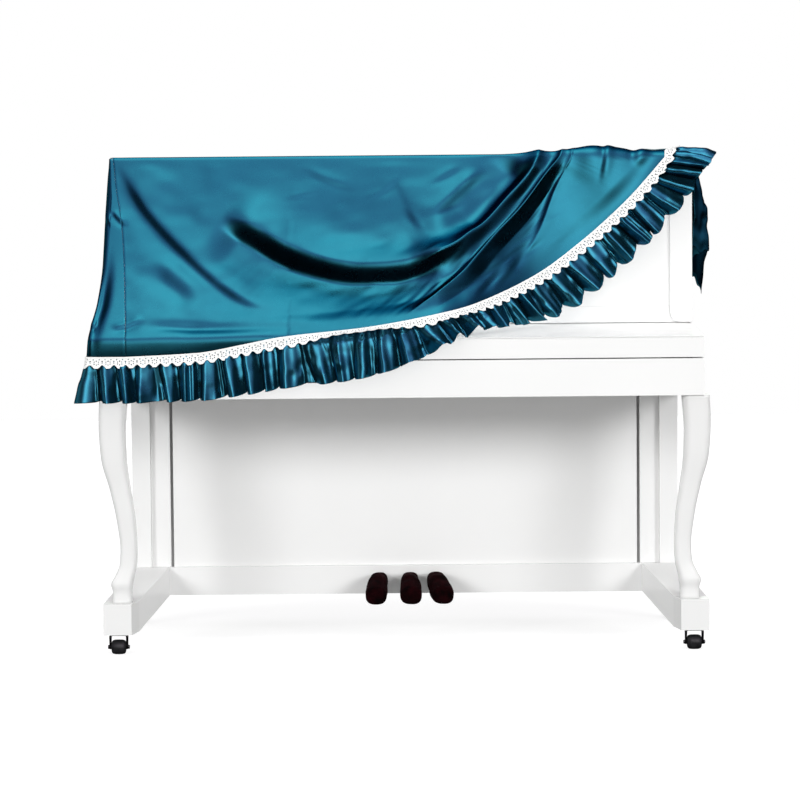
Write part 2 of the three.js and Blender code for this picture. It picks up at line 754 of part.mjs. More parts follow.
// Left gusset: one row at a drop, from the front seam round the corner to the back
function gussetRow(share) {
  const drop = THREE.MathUtils.lerp(GUSSET.firstDrop, hemDrop(LEFT[LEFT.length - 1].seam), share);
  const seam = seamX(drop) - 2 * GAP;
  const corner = cornerX(drop);
  const front = drapePoint(seam, drop);
  const round = Math.min(GUSSET.round, (seam - corner) / 2);
  const points = [];
  for (const along of GUSSET_FRONT) {
    points.push(drapePoint(THREE.MathUtils.lerp(seam, corner + round, along), drop));
  }
  for (const along of GUSSET_TURN) {
    const angle = (along * Math.PI) / 2;
    const across = corner + round - round * Math.sin(angle);
    points.push(new THREE.Vector3(across, front.y + round - round * Math.cos(angle), front.z));
  }
  const backX = THREE.MathUtils.lerp(LEFT[0].corner, GUSSET.backX, share);
  for (const along of GUSSET_SIDE) {
    const depth = THREE.MathUtils.lerp(front.y + round, GUSSET.back, along);
    points.push(new THREE.Vector3(THREE.MathUtils.lerp(corner, backX, smoothStep(along)), depth, front.z));
  }
  const crease = CORNER_CREASE.depth * bump(drop - CORNER_CREASE.drop, CORNER_CREASE.reach);
  for (const point of points) {
    const behind = point.y - front.y;
    point.z += (1 - share) ** 4 * (GUSSET.top - front.z) * smoothStep(behind / GUSSET.rise);
    point.y += crease * bump(point.x - corner - round, CORNER_CREASE.width);
  }
  return points;
}

function gussetGrid() {
  const grid = [];
  for (let i = 0; i <= GUSSET_ROWS; i++) {
    grid.push(gussetRow(i / GUSSET_ROWS).reverse());
  }
  return grid;
}

// The whole hem, from the left back round the front to the lid's right back, with the cloth's way inward
function hemStations() {
  const stations = [];
  const low = gussetRow(1);
  const above = gussetRow(1 - 1 / GUSSET_ROWS);
  for (let k = low.length - 1; k >= 0; k--) {
    stations.push({ edge: low[k], inside: above[k] });
  }
  for (let j = 0; j <= PANEL_COLUMNS; j++) {
    const edge = frontPlace(j, 1);
    const inside = frontPlace(j, 1 - 1 / FRONT_ROWS);
    stations.push({ edge: drapePoint(edge.x, edge.q), inside: drapePoint(inside.x, inside.q) });
  }
  for (const back of HEM_ON_LID) {
    const inside = lidX(PANEL_COLUMNS - 1, -back);
    stations.push({ edge: drapePoint(lidEdgeX(back), -back), inside: drapePoint(inside, -back) });
  }
  return stations;
}

// The hem as frames at even distances: place, way up the cloth, ruffle's fall and their ways out
function hemFrames(step) {
  const stations = hemStations();
  const runs = [0];
  for (let k = 1; k < stations.length; k++) {
    runs.push(runs[k - 1] + stations[k].edge.distanceTo(stations[k - 1].edge));
  }
  const length = runs[runs.length - 1];
  const at = (run, side) => {
    const inside = THREE.MathUtils.clamp(run, 0, length);
    const next = Math.max(runs.findIndex((r) => r >= inside), 1);
    const share = (inside - runs[next - 1]) / (runs[next] - runs[next - 1]);
    return stations[next - 1][side].clone().lerp(stations[next][side], share);
  };
  const fall = ["x", "y", "z"].map((axis) => follow(RUFFLE_FALL, "share", axis));
  const count = Math.round(length / step);
  const frames = [];
  for (let k = 0; k <= count; k++) {
    const run = (length * k) / count;
    const along = at(run + HEM_REACH, "edge").sub(at(run - HEM_REACH, "edge")).normalize();
    const place = at(run, "edge");
    const up = at(run, "inside").sub(place);
    up.addScaledVector(along, -up.dot(along)).normalize();
    const down = new THREE.Vector3(...fall.map((curve) => curve(k / count)));
    const out = down.clone().cross(along).normalize();
    const clothOut = along.clone().cross(up).normalize();
    frames.push({ run, place, up, down, out, clothOut });
  }
  return frames;
}

// Pleats of uneven width along the hem
function pleatWave(run) {
  const uneven = PLEAT_WAVES.reduce(
    (sum, { length, shift, size }) => sum + size * Math.sin(run / length + shift),
    0,
  );
  const phase = 2 * Math.PI * (run / RUFFLE.pleat + uneven);
  return Math.sin(phase) + PLEAT_FOLD.size * Math.sin(2 * phase + PLEAT_FOLD.shift);
}

function ruffleGrid() {
  const frames = hemFrames(RUFFLE_STEP);
  const grid = [];
  for (let i = 0; i <= RUFFLE.rows; i++) {
    const share = i / RUFFLE.rows;
    const swell = THREE.MathUtils.lerp(RUFFLE.head, RUFFLE.foot, share);
    const stand = THREE.MathUtils.lerp(RUFFLE.tuck, RUFFLE.flare, share);
    grid.push(
      frames.map(({ run, place, down, out }) => {
        const start = RUFFLE.start / down.length();
        const point = place.clone().addScaledVector(down, THREE.MathUtils.lerp(start, 1, share));
        return point.addScaledVector(out, stand + swell * pleatWave(run));
      }),
    );
  }
  return grid;
}

function laceGrid() {
  const frames = hemFrames(LACE.scallop / SCALLOP_STEPS);
  const upper = frames.map(({ place, up, clothOut }) =>
    place.clone().addScaledVector(up, LACE.above).addScaledVector(clothOut, LACE.stand),
  );
  const seam = frames.map(({ place, clothOut, out }) => {
    const outward = clothOut.clone().add(out).normalize();
    return place.clone().addScaledVector(outward, LACE.stand);
  });
  const lower = frames.map(({ run, place, down, out }) => {
    const scallop = Math.abs(Math.sin((Math.PI * run) / LACE.scallop));
    const deep = LACE.deep - LACE.above - LACE.notch * (1 - scallop);
    const point = place.clone().addScaledVector(down, deep / down.length());
    return point.addScaledVector(out, LACE.stand + LACE.flare * (deep / LACE.deep) ** 2);
  });
  return [upper, seam, lower];
}

// Right tail: flat on the lid, over its edge, then hanging in soft folds to a slanted tip
function tailGrid() {
  const flat = [TAIL.start, (TAIL.start + TAIL.turn) / 2, TAIL.turn - TAIL.bend];
  const lie = LID.top + LIE;
  const depthAt = (share) => THREE.MathUtils.lerp(TAIL.front, TAIL.back, share);
  const shares = Array.from({ length: TAIL.columns + 1 }, (_, j) => j / TAIL.columns);
  const grid = flat.map((x) => shares.map((share) => new THREE.Vector3(x, depthAt(share), lie)));
  grid.push(shares.map((share) => new THREE.Vector3(TAIL.turn, depthAt(share), lie - TAIL.bend)));
  TAIL_ROWS.forEach(({ z, outer }, i) => {
    const low = smoothStep(i / (TAIL_ROWS.length - 1));
    grid.push(
      shares.map((share) => {
        const fold = 0.5 - 0.5 * Math.cos(2 * Math.PI * TAIL.folds * share);
        const x = THREE.MathUtils.lerp(TAIL_INNER, outer, fold);
        const narrow = THREE.MathUtils.lerp(share, TAIL_TIP.middle, TAIL_TIP.narrowing * low);
        return new THREE.Vector3(x, depthAt(narrow), z - TAIL_TIP.drop * low * fold);
      }),
    );
  });
  return grid;
}

addCase();
addFeet();
add("main_panel", sheet(panelGrid(), CLOTH), SATIN);
add("left_gusset", sheet(gussetGrid(), CLOTH), SATIN);
add("right_tail", sheet(tailGrid(), CLOTH), SATIN);
add("ruffle", sheet(ruffleGrid(), RUFFLE.thick), SATIN);
add("lace_band", sheet(laceGrid(), LACE.thick), LACE_WHITE);

export default part;
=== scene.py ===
"""Looks of a satin keyboard dust cover, with its ruffle and lace band, on a plain white upright piano.

Sizes are in millimetres. Depths are measured from the front of the case sides, as in the solids.
"""

import json
import math

import bpy
import numpy as np
from mathutils import Matrix


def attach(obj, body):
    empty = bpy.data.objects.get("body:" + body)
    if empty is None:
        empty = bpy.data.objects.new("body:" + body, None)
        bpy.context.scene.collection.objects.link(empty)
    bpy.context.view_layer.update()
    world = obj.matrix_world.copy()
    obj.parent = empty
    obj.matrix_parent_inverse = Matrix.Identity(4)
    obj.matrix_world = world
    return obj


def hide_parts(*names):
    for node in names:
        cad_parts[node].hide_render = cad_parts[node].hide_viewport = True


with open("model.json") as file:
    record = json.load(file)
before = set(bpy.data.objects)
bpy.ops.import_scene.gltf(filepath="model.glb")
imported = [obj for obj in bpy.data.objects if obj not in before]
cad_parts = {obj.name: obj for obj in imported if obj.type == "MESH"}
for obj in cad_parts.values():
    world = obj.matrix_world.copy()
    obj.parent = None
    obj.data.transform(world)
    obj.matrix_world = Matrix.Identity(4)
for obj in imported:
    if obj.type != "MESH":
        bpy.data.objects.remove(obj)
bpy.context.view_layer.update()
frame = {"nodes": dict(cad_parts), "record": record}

MM = 0.001
CASE_FRONT = 14
BODY = "root"
SEED = 7


def table(names, *rows):
    """Columns of a short table by name."""
    return {name: np.array(column, float) for name, column in zip(names.split(), zip(*rows))}


def each(rows, names):
    """Rows of a table, with the named columns in that order."""
    return zip(*(rows[name].tolist() for name in names.split()))


def spread(rows):
    """Even steps from first to last for each row of a table, one row after the other."""
    steps = each(rows, "first last count")
    return np.concatenate([np.linspace(first, last, round(count)) for first, last, count in steps])


# Piano sizes that the cloth needs
LID_TOP, LID_FRONT, BACK_Y = 1240, -22, 310
BED_HALF, BED_FRONT, FALL_TOP = 738, -310, 781

# The cover's plain drape: x runs across, q runs down the cloth from the lid's front edge
LIE, SATIN_THICK = 1.3, 1
EDGE_CLEAR = 3.5
EDGE_Y, EDGE_Z = LID_FRONT - EDGE_CLEAR, LID_TOP + LIE
KNEE_Y, KNEE_Z, KNEE_TUCK = -321, 786, 0.05
TURN_LID, TURN_KNEE, TURN_LEAST = 8, 10, 0.01
HEAP_TURN = dict(turn=26, x=545, reach=95)
LID_RUN = BACK_Y + EDGE_CLEAR - EDGE_Y
BACK_FALL = 60
SAG_DEPTH, SAG_RIGHT, SAG_REACH = 18, 300, 400
LIFT_LEFT, LIFT_REACH = 600, 80
HEM_CALM = 75
CALM_RIGHT, CALM_REACH = 480, 180
HEM_END = 672

HEM = table(
    "x y z",
    (-790, -322, 736),
    (-510, -322, 748),
    (-400, -322, 766),
    (-300, -322, 784),
    (-96, -321, 805),
    (80, -305, 836),
    (150, -266, 852),
    (220, -206, 877),
    (338, -122, 933),
    (454, -78, 1015),
    (570, -60, 1117),
    (672, -34, 1226),
)
LEFT = table(
    "q seam corner",
    (-30, -750.5, -749.5),
    (0, -741, -749.5),
    (100, -727, -752),
    (180, -712, -753),
    (311, -699, -753),
    (430, -691, -761),
    (510, -686, -774),
    (590, -684, -781),
)
GRAIN = table(
    "column top foot",
    (0, -741, -684),
    (12, -440, -420),
    (22, -120, -230),
    (38, 346, -60),
    (46, 414, 10),
    (58, 436, 290),
    (66, 552, 500),
    (72, HEM_END, HEM_END),
)
COLUMNS, SEAM_POWER = 72, 4
PANEL_FINE, FRONT_ROWS = 4, 113
LID_EDGE = table("back x lift", (0, HEM_END, 3), (25, 686, 9), (60, 692, 12), (300, 700, 12), (340, 700, 0))
LID_EDGE_STEPS = table("first last count", (3, 45, 15), (60, 300, 17))
TOP_ROWS = table(
    "first last count",
    (-LID_RUN - BACK_FALL, -LID_RUN + 12, 10),
    (-LID_RUN + 30, -60, 10),
    (-48, -2, 12),
)
UNEVEN = table("size rows columns", (1.1, 9, 15), (0.45, 22, 40))
UNEVEN_START = 40

# Folds, a row each: a line in (x, q) with a crest, a hollow or both, which fade in and out over two lengths.
# A crest has its height and a hollow its depth, then its place across the line, counted to the right of the
# line's direction, and its width before and past that place. The lower its power, the sharper it is.
FOLDS = {
    "swag": dict(
        line=[
            (-478, 200), (-384, 255), (-300, 304), (-175, 352), (-60, 366), (40, 354), (110, 318), (165, 275),
        ],
        crest=(12, -44, 64, 20), hollow=(15, 3, 20, 70), fade=(80, 110)),
    "swag hollow": dict(
        line=[(-436, 208), (-300, 304), (-175, 352), (-60, 366), (40, 354), (110, 318)],
        hollow=(15, 8, 24, 130), fade=(200, 150)),
    "upper hollow": dict(
        line=[(-330, 200), (-200, 248), (-70, 262), (40, 245), (110, 205)],
        hollow=(9, 0, 110, 90), fade=(150, 110)),
    "ridge shade": dict(
        line=[(136, 280), (172, 245), (200, 219), (228, 184), (267, 131), (303, 87), (338, 35)],
        hollow=(13, -22, 66, 16), fade=(90, 60)),
    "corner": dict(
        line=[(-738, 0), (-678, 116), (-635, 183), (-548, 287), (-463, 376), (-385, 434), (-311, 457)],
        crest=(4.8, -9, 52, 16), hollow=(4.2, 8, 14, 42), fade=(170, 120)),
    "corner shade": dict(
        line=[(-640, 305), (-575, 372), (-500, 436)],
        crest=(4, -26, 30, 30), hollow=(5, 12, 30, 30), fade=(70, 70)),
    "first ridge": dict(
        line=[
            (20, 338), (90, 311), (136, 280), (172, 245), (200, 219), (228, 184), (267, 131), (303, 87),
            (338, 35), (358, -30),
        ],
        crest=(36, 0, 26, 30), fade=(90, 80), crest_power=1.3),
    "second ridge": dict(
        line=[
            (-10, 500), (40, 463), (90, 417), (159, 341), (228, 244), (299, 155), (364, 63), (404, 10),
            (416, -30),
        ],
        crest=(17, 0, 9, 26), fade=(80, 70), crest_power=1.3),
    "lower valley": dict(
        line=[(15, 520), (62, 484), (112, 438), (182, 360), (240, 285)],
        hollow=(12, 0, 22, 80), fade=(70, 80), hollow_power=1.1),
    "second valley": dict(
        line=[(159, 341), (228, 244), (299, 155), (364, 63), (404, 10), (416, -30)],
        hollow=(9, 30, 18, 75), fade=(130, 70), hollow_power=1.1),
    "third ridge": dict(
        line=[(285, 320), (319, 259), (354, 190), (386, 105), (417, 43), (433, 8), (442, -40)],
        crest=(10, 0, 10, 80), fade=(170, 85), crest_power=1.3),
    "heap on the lid": dict(
        line=[(540, -230), (522, 0), (505, 120), (480, 260)],
        crest=(18, 0, 80, 125), fade=(75, 270)),
    "bunched fold": dict(
        line=[(500, -230), (482, 0), (470, 90)],
        crest=(4, 0, 32, 32), fade=(75, 90)),
    "narrow pleat": dict(
        line=[(556, -230), (526, 0), (518, 50), (512, 95)],
        crest=(3, 0, 14, 9), hollow=(1.2, 12, 6, 9), fade=(75, 60)),
    "end pleat": dict(
        line=[(650, -200), (612, 0), (594, 45)],
        crest=(6, 0, 20, 16), hollow=(2, 22, 12, 12), fade=(75, 40)),
    "upper fan": dict(
        line=[(212, 402), (256, 328), (300, 256)],
        crest=(4, 0, 18, 9), hollow=(3, 16, 9, 14), fade=(60, 60)),
    "lower fan": dict(
        line=[(160, 436), (204, 362), (248, 298)],
        crest=(4, 0, 18, 9), hollow=(3, 16, 9, 14), fade=(60, 60)),
    "keyboard hollow": dict(
        line=[(-665, 498), (-577, 505), (-400, 514), (-170, 518), (30, 500)],
        hollow=(5, 0, 16, 14), fade=(110, 180)),
    "upper pucker": dict(
        line=[(-736, 152), (-713, 180), (-690, 196)],
        crest=(2, 0, 9, 6), hollow=(1.6, 9, 5, 9), fade=(22, 22)),
    "lower pucker": dict(
        line=[(-724, 505), (-690, 498), (-640, 474)],
        crest=(2.4, 0, 10, 7), hollow=(2, 10, 6, 10), fade=(25, 30)),
    "top crease 1": dict(
        line=[(-261, 28), (-183, 70), (-108, 96)],
        crest=(1.1, 0, 16, 8), hollow=(0.7, 12, 8, 14), fade=(60, 60)),
    "top crease 2": dict(
        line=[(-108, 127), (-52, 103), (-5, 54)],
        crest=(1.1, 0, 14, 8), hollow=(0.7, 12, 8, 14), fade=(60, 50)),
    "top crease 3": dict(
        line=[(-310, 127), (-260, 112), (-195, 104)],
        crest=(0.9, 0, 14, 9), hollow=(0.6, 12, 8, 14), fade=(50, 50)),
    "top crease 4": dict(
        line=[(64, 180), (118, 128), (176, 70), (215, 40)],
        crest=(4.5, 0, 20, 14), hollow=(3.2, 20, 14, 20), fade=(80, 70)),
    "top crease 5": dict(
        line=[(50, 92), (100, 62), (160, 24)],
        crest=(1.4, 0, 14, 10), hollow=(0.9, 13, 9, 14), fade=(55, 50)),
    "top crease 6": dict(
        line=[(4, 145), (28, 182), (54, 226)],
        crest=(1, 0, 10, 9), hollow=(0.8, 11, 8, 12), fade=(45, 45)),
}
LINE_STEPS, ROUND_POWER = 48, 2

# Left gusset
GUSSET_TOP, GUSSET_FIRST_DROP = LID_TOP - 0.4, 2
GUSSET_BACK, GUSSET_BACK_X = BACK_Y - 8, -766
GUSSET_ROUND, GUSSET_RISE, RISE_POWER = 14, 40, 4
SEAM_GAP = 0.15
GUSSET_ROWS = 110
GUSSET_FRONT = np.linspace(0, 1, 14)
GUSSET_TURN = np.linspace(0, 1, 12)[1:-1]
GUSSET_SIDE = np.linspace(0, 1, 60)
CORNER_CREASE = dict(drop=440, reach=95, depth=13, width=13)

# Ruffle and lace along the whole hem, from the left back round the front to the lid's right back
PLEAT = 53
RUFFLE = dict(thick=0.9, head=4, foot=19, tuck=-3.6, flare=7, start=1.1, rows=30, step=2.0)
PLEAT_SPREAD, SPREAD_RATE = 0.5, 3
PLEAT_LEAN = dict(left=0.5, right=0.65, start=0.42, reach=0.15)
PLEAT_WAVES = table("length shift size", (131, 0, 0.2), (57, 1, 0.13))
EXTRA_PLEATS = dict(start=0.835, reach=0.06, count=2.4)
UNDER_LACE, CLEAR, FREE_RATE = 1.4, 1.6, 1.2
ON_LID = dict(start=0.862, reach=0.02, swell=0.45, droop=24)
ON_SIDE = dict(end=0.235, reach=0.03, swell=0.5, flare=0.45)

# How the pleats vary, in so many steps along the hem
PLEAT_STRENGTH = dict(size=0.25, steps=70, low=0.6, high=1.5)
PLEAT_TWIST = dict(size=1.5, steps=55)
PLEAT_FLARE = dict(mean=0.85, size=0.25, steps=80, low=0.45, high=1.6)
PLEAT_FACETS = dict(second=0.2, shift=0.6, third=0.22, steps=200)
PLEAT_LOBE = dict(size=0.08, left=0.4, more=0.8, start=0.5, reach=0.15)
CRUMPLE = dict(size=1.6, rows=5, steps=170, reach=0.8)

# Where the ruffle's lower edge hangs from the hem, by share of the hem's length
RUFFLE_FALL = table(
    "share x y z",
    (0, 6, 0, -107),
    (0.2, 6, 0, -107),
    (0.235, 2, -6, -108),
    (0.34, 5, -4, -112),
    (0.41, 10, -4, -119),
    (0.49, 16, -6, -111),
    (0.555, 28, -24, -82),
    (0.58, 38, -38, -58),
    (0.6, 36, -36, -52),
    (0.64, 41, 0, -70),
    (0.7, 64, 26, -88),
    (0.76, 73, 4, -80),
    (0.82, 79, -4, -69),
    (0.85, 90, -8, -55),
    (0.87, 106, -12, -8),
    (0.885, 108, -6, -3),
    (1, 106, 0, -3),
)

# Where the hem lies on the fall's front edge, it first runs forward: by share of the hem's length
FORWARD = table("share tilt", (0.425, 0), (0.485, 0.85), (0.51, 0.85), (0.565, 0))
FORWARD_WAY, FORWARD_REACH, FORWARD_RATE = (0, -0.93, -0.36), 15, 5
HEM_REACH = 14
ABOVE_HEM = dict(gusset=17 / 18, panel=1 - 1 / 17)
LACE = dict(
    thick=0.7, above=2, deep=29, margin=1, notch=10, scallop=28.5, round=1.2, picot=0.05, picots=3, stand=3.4,
    flare=7, turn=5, rows=17, steps=16,
)
CUT_MARGIN = 0.08
LACE_HOLES = table(
    "u v radius",
    (0.25, 6.6, 1.8),
    (0.75, 6.6, 1.8),
    (0.5, 10.2, 1.8),
    (0.5, 19.6, 1.8),
    (0.32, 12.4, 1.7),
    (0.68, 12.4, 1.7),
    (0.32, 17.4, 1.7),
    (0.68, 17.4, 1.7),
    (0, 11, 1.9),
    (0, 15.4, 1.4),
)
LACE_CORD = dict(at=2.2, width=1.4, height=0.9)
LACE_RING = dict(u=0.5, v=14.9, radius=7.2, width=1.1, height=0.8)

# Right tail: a front layer that ends in a ragged edge and a longer back layer with a slanted tip
TAIL = dict(start=706, turn=751, bend=4, front=22, back=138, columns=90, flat_rows=10, rows=70)
TAIL_EDGE = dict(ragged=4, teeth=61)
TAIL_SWAY = dict(size=0.03, length=47)
TAIL_CRUMPLE = dict(size=3.2, rows=9, columns=13)
TAIL_SIDES = table(
    "z inner outer",
    (880, 744, 782),
    (935, 744, 787),
    (990, 746, 794),
    (1100, 752, 784),
    (1226, 752, 756),
)
TAIL_FOLDS = table(
    "share fold low",
    (0, 0, 1002),
    (0.1, 0.55, 985),
    (0.22, 1, 996),
    (0.33, 0.45, 978),
    (0.42, 0.05, 955),
    (0.55, 0.4, 925),
    (0.7, 0.95, 882),
    (0.82, 0.6, 912),
    (1, 0.1, 945),
)

# Legs, pedal socks and caster wheels
LEG_Y = -272
LEG = table(
    "z x half",
    (129.3, 704, 24),
    (158, 704, 23.5),
    (175, 705, 27),
    (196, 698, 24),
    (225, 689, 21),
    (262, 687, 20.5),
    (337, 693, 23),
    (411, 706, 25.5),
    (490, 721, 31),
    (560, 724, 32.5),
    (634.7, 720, 34),
)
LEG_RINGS, LEG_SIDES, LEG_SQUARE = 70, 40, 4
SOCKS = table("x lean", (-68, -9), (10, 3), (75, 20))
SOCK = table(
    "y z halfX halfZ lean",
    (-119, 118, 19, 14, 1),
    (-113, 119, 26, 22, 1),
    (-96, 123, 28, 27, 0.9),
    (-66, 138, 25, 29, 0.5),
    (-34, 146, 22, 24, 0.1),
    (-4.3, 147, 19, 18, 0),
)
SOCK_SQUARE = 2.6
SOCK_RINGS, SOCK_SIDES = 44, 36
SOCK_WRINKLE = dict(size=0.045, rings=9, sides=7)
CASTER_RADIUS = 18.43
CASTER_PLACES = {"front": (716, -270), "rear": (718, 268)}
FORK = dict(half=20.8, low=13, axle=18.4, top=49.2, corner=4, deep=11, foot=6.5, thick=4.2)
FORK_FOOT = dict(lead=2, reach=6, least=0.3)
FORK_STEPS = dict(bend=6, leg=12, deep=5)
AXLE = table(
    "across radius",
    (-27, 0.5),
    (-27, 4.2),
    (-26, 5),
    (-23.5, 5),
    (-23, 3.5),
    (-19.5, 3.5),
    (-19.5, 0.5),
)
WHEEL_PROFILE = table(
    "across radius",
    (-18.8, 0.5),
    (-18.8, 6.5),
    (-17.8, 7.5),
    (-17.6, 11.5),
    (-16.6, 14.6),
    (-14, 16.9),
    (-9, 18.1),
    (0, CASTER_RADIUS),
    (9, 18.1),
    (14, 16.9),
    (16.6, 14.6),
    (17.6, 11.5),
    (17.8, 7.5),
    (18.8, 6.5),
    (18.8, 0.5),
)
WHEEL_SIDES = 48

# Rounding of the piano's edges, and the least angle in degrees of an edge that is rounded
EDGE, EDGES = 2.2, {"fall": 0.8, "key_bed": 1.2, "toe_left": 8, "toe_right": 8}
EDGE_STEPS, EDGE_ANGLE = 3, 40

# Camera, in the frame of the depths above
CAMERA_PLACE = (-11, -6510, 974)
CAMERA_PITCH, CAMERA_ROLL = math.radians(-3.18), math.radians(-0.52)
CAMERA_LENS, CAMERA_SENSOR, CAMERA_SIGHT = 113.6, 36, 60

# Light from all round on matt surfaces and on what gleams, and lights from the front, angles in degrees
WORLD_STRENGTH, GLEAM_STRENGTH = 0.4, 4.9
LIGHTS = table("strength height side", (1.4, 18, -45), (1.4, 18, 45), (0.8, 70, 0))
LIGHT_SPREAD = 20
FLOOR_GLOW, FLOOR_REACH = 0.8, 9000

# What gleams sees a sky, brighter the higher it is and dimmer to the sides and behind, and some broad glows
SKY = table(
    "place red green blue",
    (0, 0.001, 0.001, 0.001),
    (0.5, 0.006, 0.003, 0.006),
    (0.675, 0.05, 0.025, 0.06),
    (0.81, 0.27, 0.19, 0.29),
    (0.91, 0.38, 0.3, 0.42),
    (0.985, 1.02, 1.1, 1.04),
)
SKY_BEHIND = -0.4
SKY_ASIDE = dict(free=0.12, dim=-0.8, dim_behind=-1.6)
GLOWS = table(
    "x y z red green blue tightness",
    (0.198, -0.93, 0.309, 1.2, 1.22, 1.15, 14),
    (0.679, -0.611, 0.407, 0.18, 0.14, 0.2, 6),
    (0.05, 0.998, 0.1, 0.4, 0.44, 0.4, 60),
    (-0.99, 0, 0.141, 0.2, 0.2, 0.2, 12),
)
GLOW_LOW, GLOW_FULL = -0.08, 0.18


def smooth_step(value):
    share = np.clip(value, 0, 1)
    return share * share * (3 - 2 * share)


def mix(a, b, share):
    return a + (b - a) * share


def unit(vectors):
    return vectors / np.linalg.norm(vectors, axis=-1, keepdims=True)


def bell(distance, width):
    return np.exp(-((distance / width) ** 2))


def grid_of(*parts):
    """One grid from its parts, each spread to the size of the whole."""
    return np.stack(np.broadcast_arrays(*parts), axis=-1)


def follow(rows, key, column):
    """A smooth curve through one column of a table, without overshoot and held level past its ends."""
    keys, values = rows[key], rows[column]
    rise = np.diff(values) / np.diff(keys)
    before, after = rise[:-1], rise[1:]
    same = before * after > 0
    slopes = np.concatenate(
        [rise[:1], np.where(same, 2 * before * after / np.where(same, before + after, 1), 0), rise[-1:]]
    )

    def curve(at):
        inside = np.clip(at, keys[0], keys[-1])
        i = np.clip(np.searchsorted(keys, inside) - 1, 0, len(keys) - 2)
        span = keys[i + 1] - keys[i]
        t = (inside - keys[i]) / span
        return (
            (1 + 2 * t) * (1 - t) ** 2 * values[i]
            + t * (1 - t) ** 2 * span * slopes[i]
            + t * t * (3 - 2 * t) * values[i + 1]
            + t * t * (t - 1) * span * slopes[i + 1]
        )

    return curve


hem_y, hem_z = follow(HEM, "x", "y"), follow(HEM, "x", "z")
seam_x, corner_x = follow(LEFT, "q", "seam"), follow(LEFT, "q", "corner")
grain_top, grain_foot = follow(GRAIN, "column", "top"), follow(GRAIN, "column", "foot")
lid_edge_x, lid_edge_lift = follow(LID_EDGE, "back", "x"), follow(LID_EDGE, "back", "lift")


def soft_noise(shape, cells, seed):
    """Smooth uneven values about zero over a grid of that shape, from a few random ones."""
    rows, columns = cells
    values = np.random.default_rng(seed).normal(0, 1, (rows + 1, columns + 1))
    v = np.linspace(0, rows, shape[0])
    u = np.linspace(0, columns, shape[1])
    i, j = np.minimum(v.astype(int), rows - 1), np.minimum(u.astype(int), columns - 1)
    a, b = smooth_step(v - i)[:, None], smooth_step(u - j)[None, :]
    near = mix(values[np.ix_(i, j)], values[np.ix_(i, j + 1)], b)
    far = mix(values[np.ix_(i + 1, j)], values[np.ix_(i + 1, j + 1)], b)
    return mix(near, far, a)


# The drape
def ramp(distance, reach):
    """Zero before a turn and the distance past it after, rounded over the turn's reach."""
    turning = (distance + reach) ** 2 / (4 * reach)
    return np.where(distance < -reach, 0, np.where(distance > reach, distance, turning))


def slope_at(x):
    over = np.maximum(KNEE_Z - hem_z(x), 0)
    y = np.where(over > 0, KNEE_Y, hem_y(x)) - EDGE_Y
    z = np.where(over > 0, KNEE_Z, hem_z(x)) - EDGE_Z
    length = np.hypot(y, z)
    return over, length, y / length, z / length


def hem_drop(x):
    over, length, _, _ = slope_at(x)
    return length + over


def lid_turn(x):
    """Reach of the turn over the lid's front edge, softer where the cloth lies heaped."""
    heaped = bell(x - HEAP_TURN["x"], HEAP_TURN["reach"])
    return mix(TURN_LID, HEAP_TURN["turn"], heaped)


def profile(x, q):
    over, length, y, z = slope_at(x)
    past_lid = ramp(q, lid_turn(x))
    past_knee = np.where(over > 0, ramp(q - length, np.clip(over, TURN_LEAST, TURN_KNEE)), 0)
    past_back = ramp(-LID_RUN - q, TURN_LID)
    return grid_of(
        x,
        EDGE_Y - q + (y + 1) * past_lid + (KNEE_TUCK - y) * past_knee - past_back,
        EDGE_Z + z * past_lid - (1 + z) * past_knee - past_back,
    )


def spline(points):
    """Points along a smooth line through the given ones."""
    p = np.array(points, float)
    last = len(p) - 1
    t = np.linspace(0, last, LINE_STEPS + 1)
    i = np.minimum(t.astype(int), last - 1)
    w = (t - i)[:, None]
    p0, p1, p2, p3 = p[np.maximum(i - 1, 0)], p[i], p[i + 1], p[np.minimum(i + 2, last)]
    v0, v1 = (p2 - p0) / 2, (p3 - p1) / 2
    return (2 * p1 - 2 * p2 + v0 + v1) * w**3 + (3 * p2 - 3 * p1 - 2 * v0 - v1) * w**2 + v0 * w + p1


def bump(across, place, before, past, power):
    offset = across - place
    return np.exp(-(np.abs(offset / np.where(offset < 0, before, past)) ** power))


def fold_height(fold, x, q):
    line = spline(fold["line"])
    ways = np.diff(line, axis=0)
    lengths = np.linalg.norm(ways, axis=1)
    runs = np.concatenate([[0], np.cumsum(lengths)])
    best = np.full(x.shape, np.inf)
    across, run = np.zeros(x.shape), np.zeros(x.shape)
    for k, (way, length) in enumerate(zip(ways, lengths)):
        dx, dq = x - line[k, 0], q - line[k, 1]
        share = np.clip((dx * way[0] + dq * way[1]) / length**2, 0, 1)
        distance = np.hypot(dx - share * way[0], dq - share * way[1])
        side = np.where(way[0] * dq - way[1] * dx < 0, -1, 1)
        near = distance < best
        best = np.where(near, distance, best)
        across = np.where(near, side * distance, across)
        run = np.where(near, runs[k] + share * length, run)
    fade = smooth_step(run / fold["fade"][0]) * smooth_step((runs[-1] - run) / fold["fade"][1])
    lift = np.zeros(x.shape)
    if "crest" in fold:
        height, *shape = fold["crest"]
        lift = lift + height * bump(across, *shape, fold.get("crest_power", ROUND_POWER))
    if "hollow" in fold:
        depth, *shape = fold["hollow"]
        lift = lift - depth * bump(across, *shape, fold.get("hollow_power", ROUND_POWER))
    return fade * lift


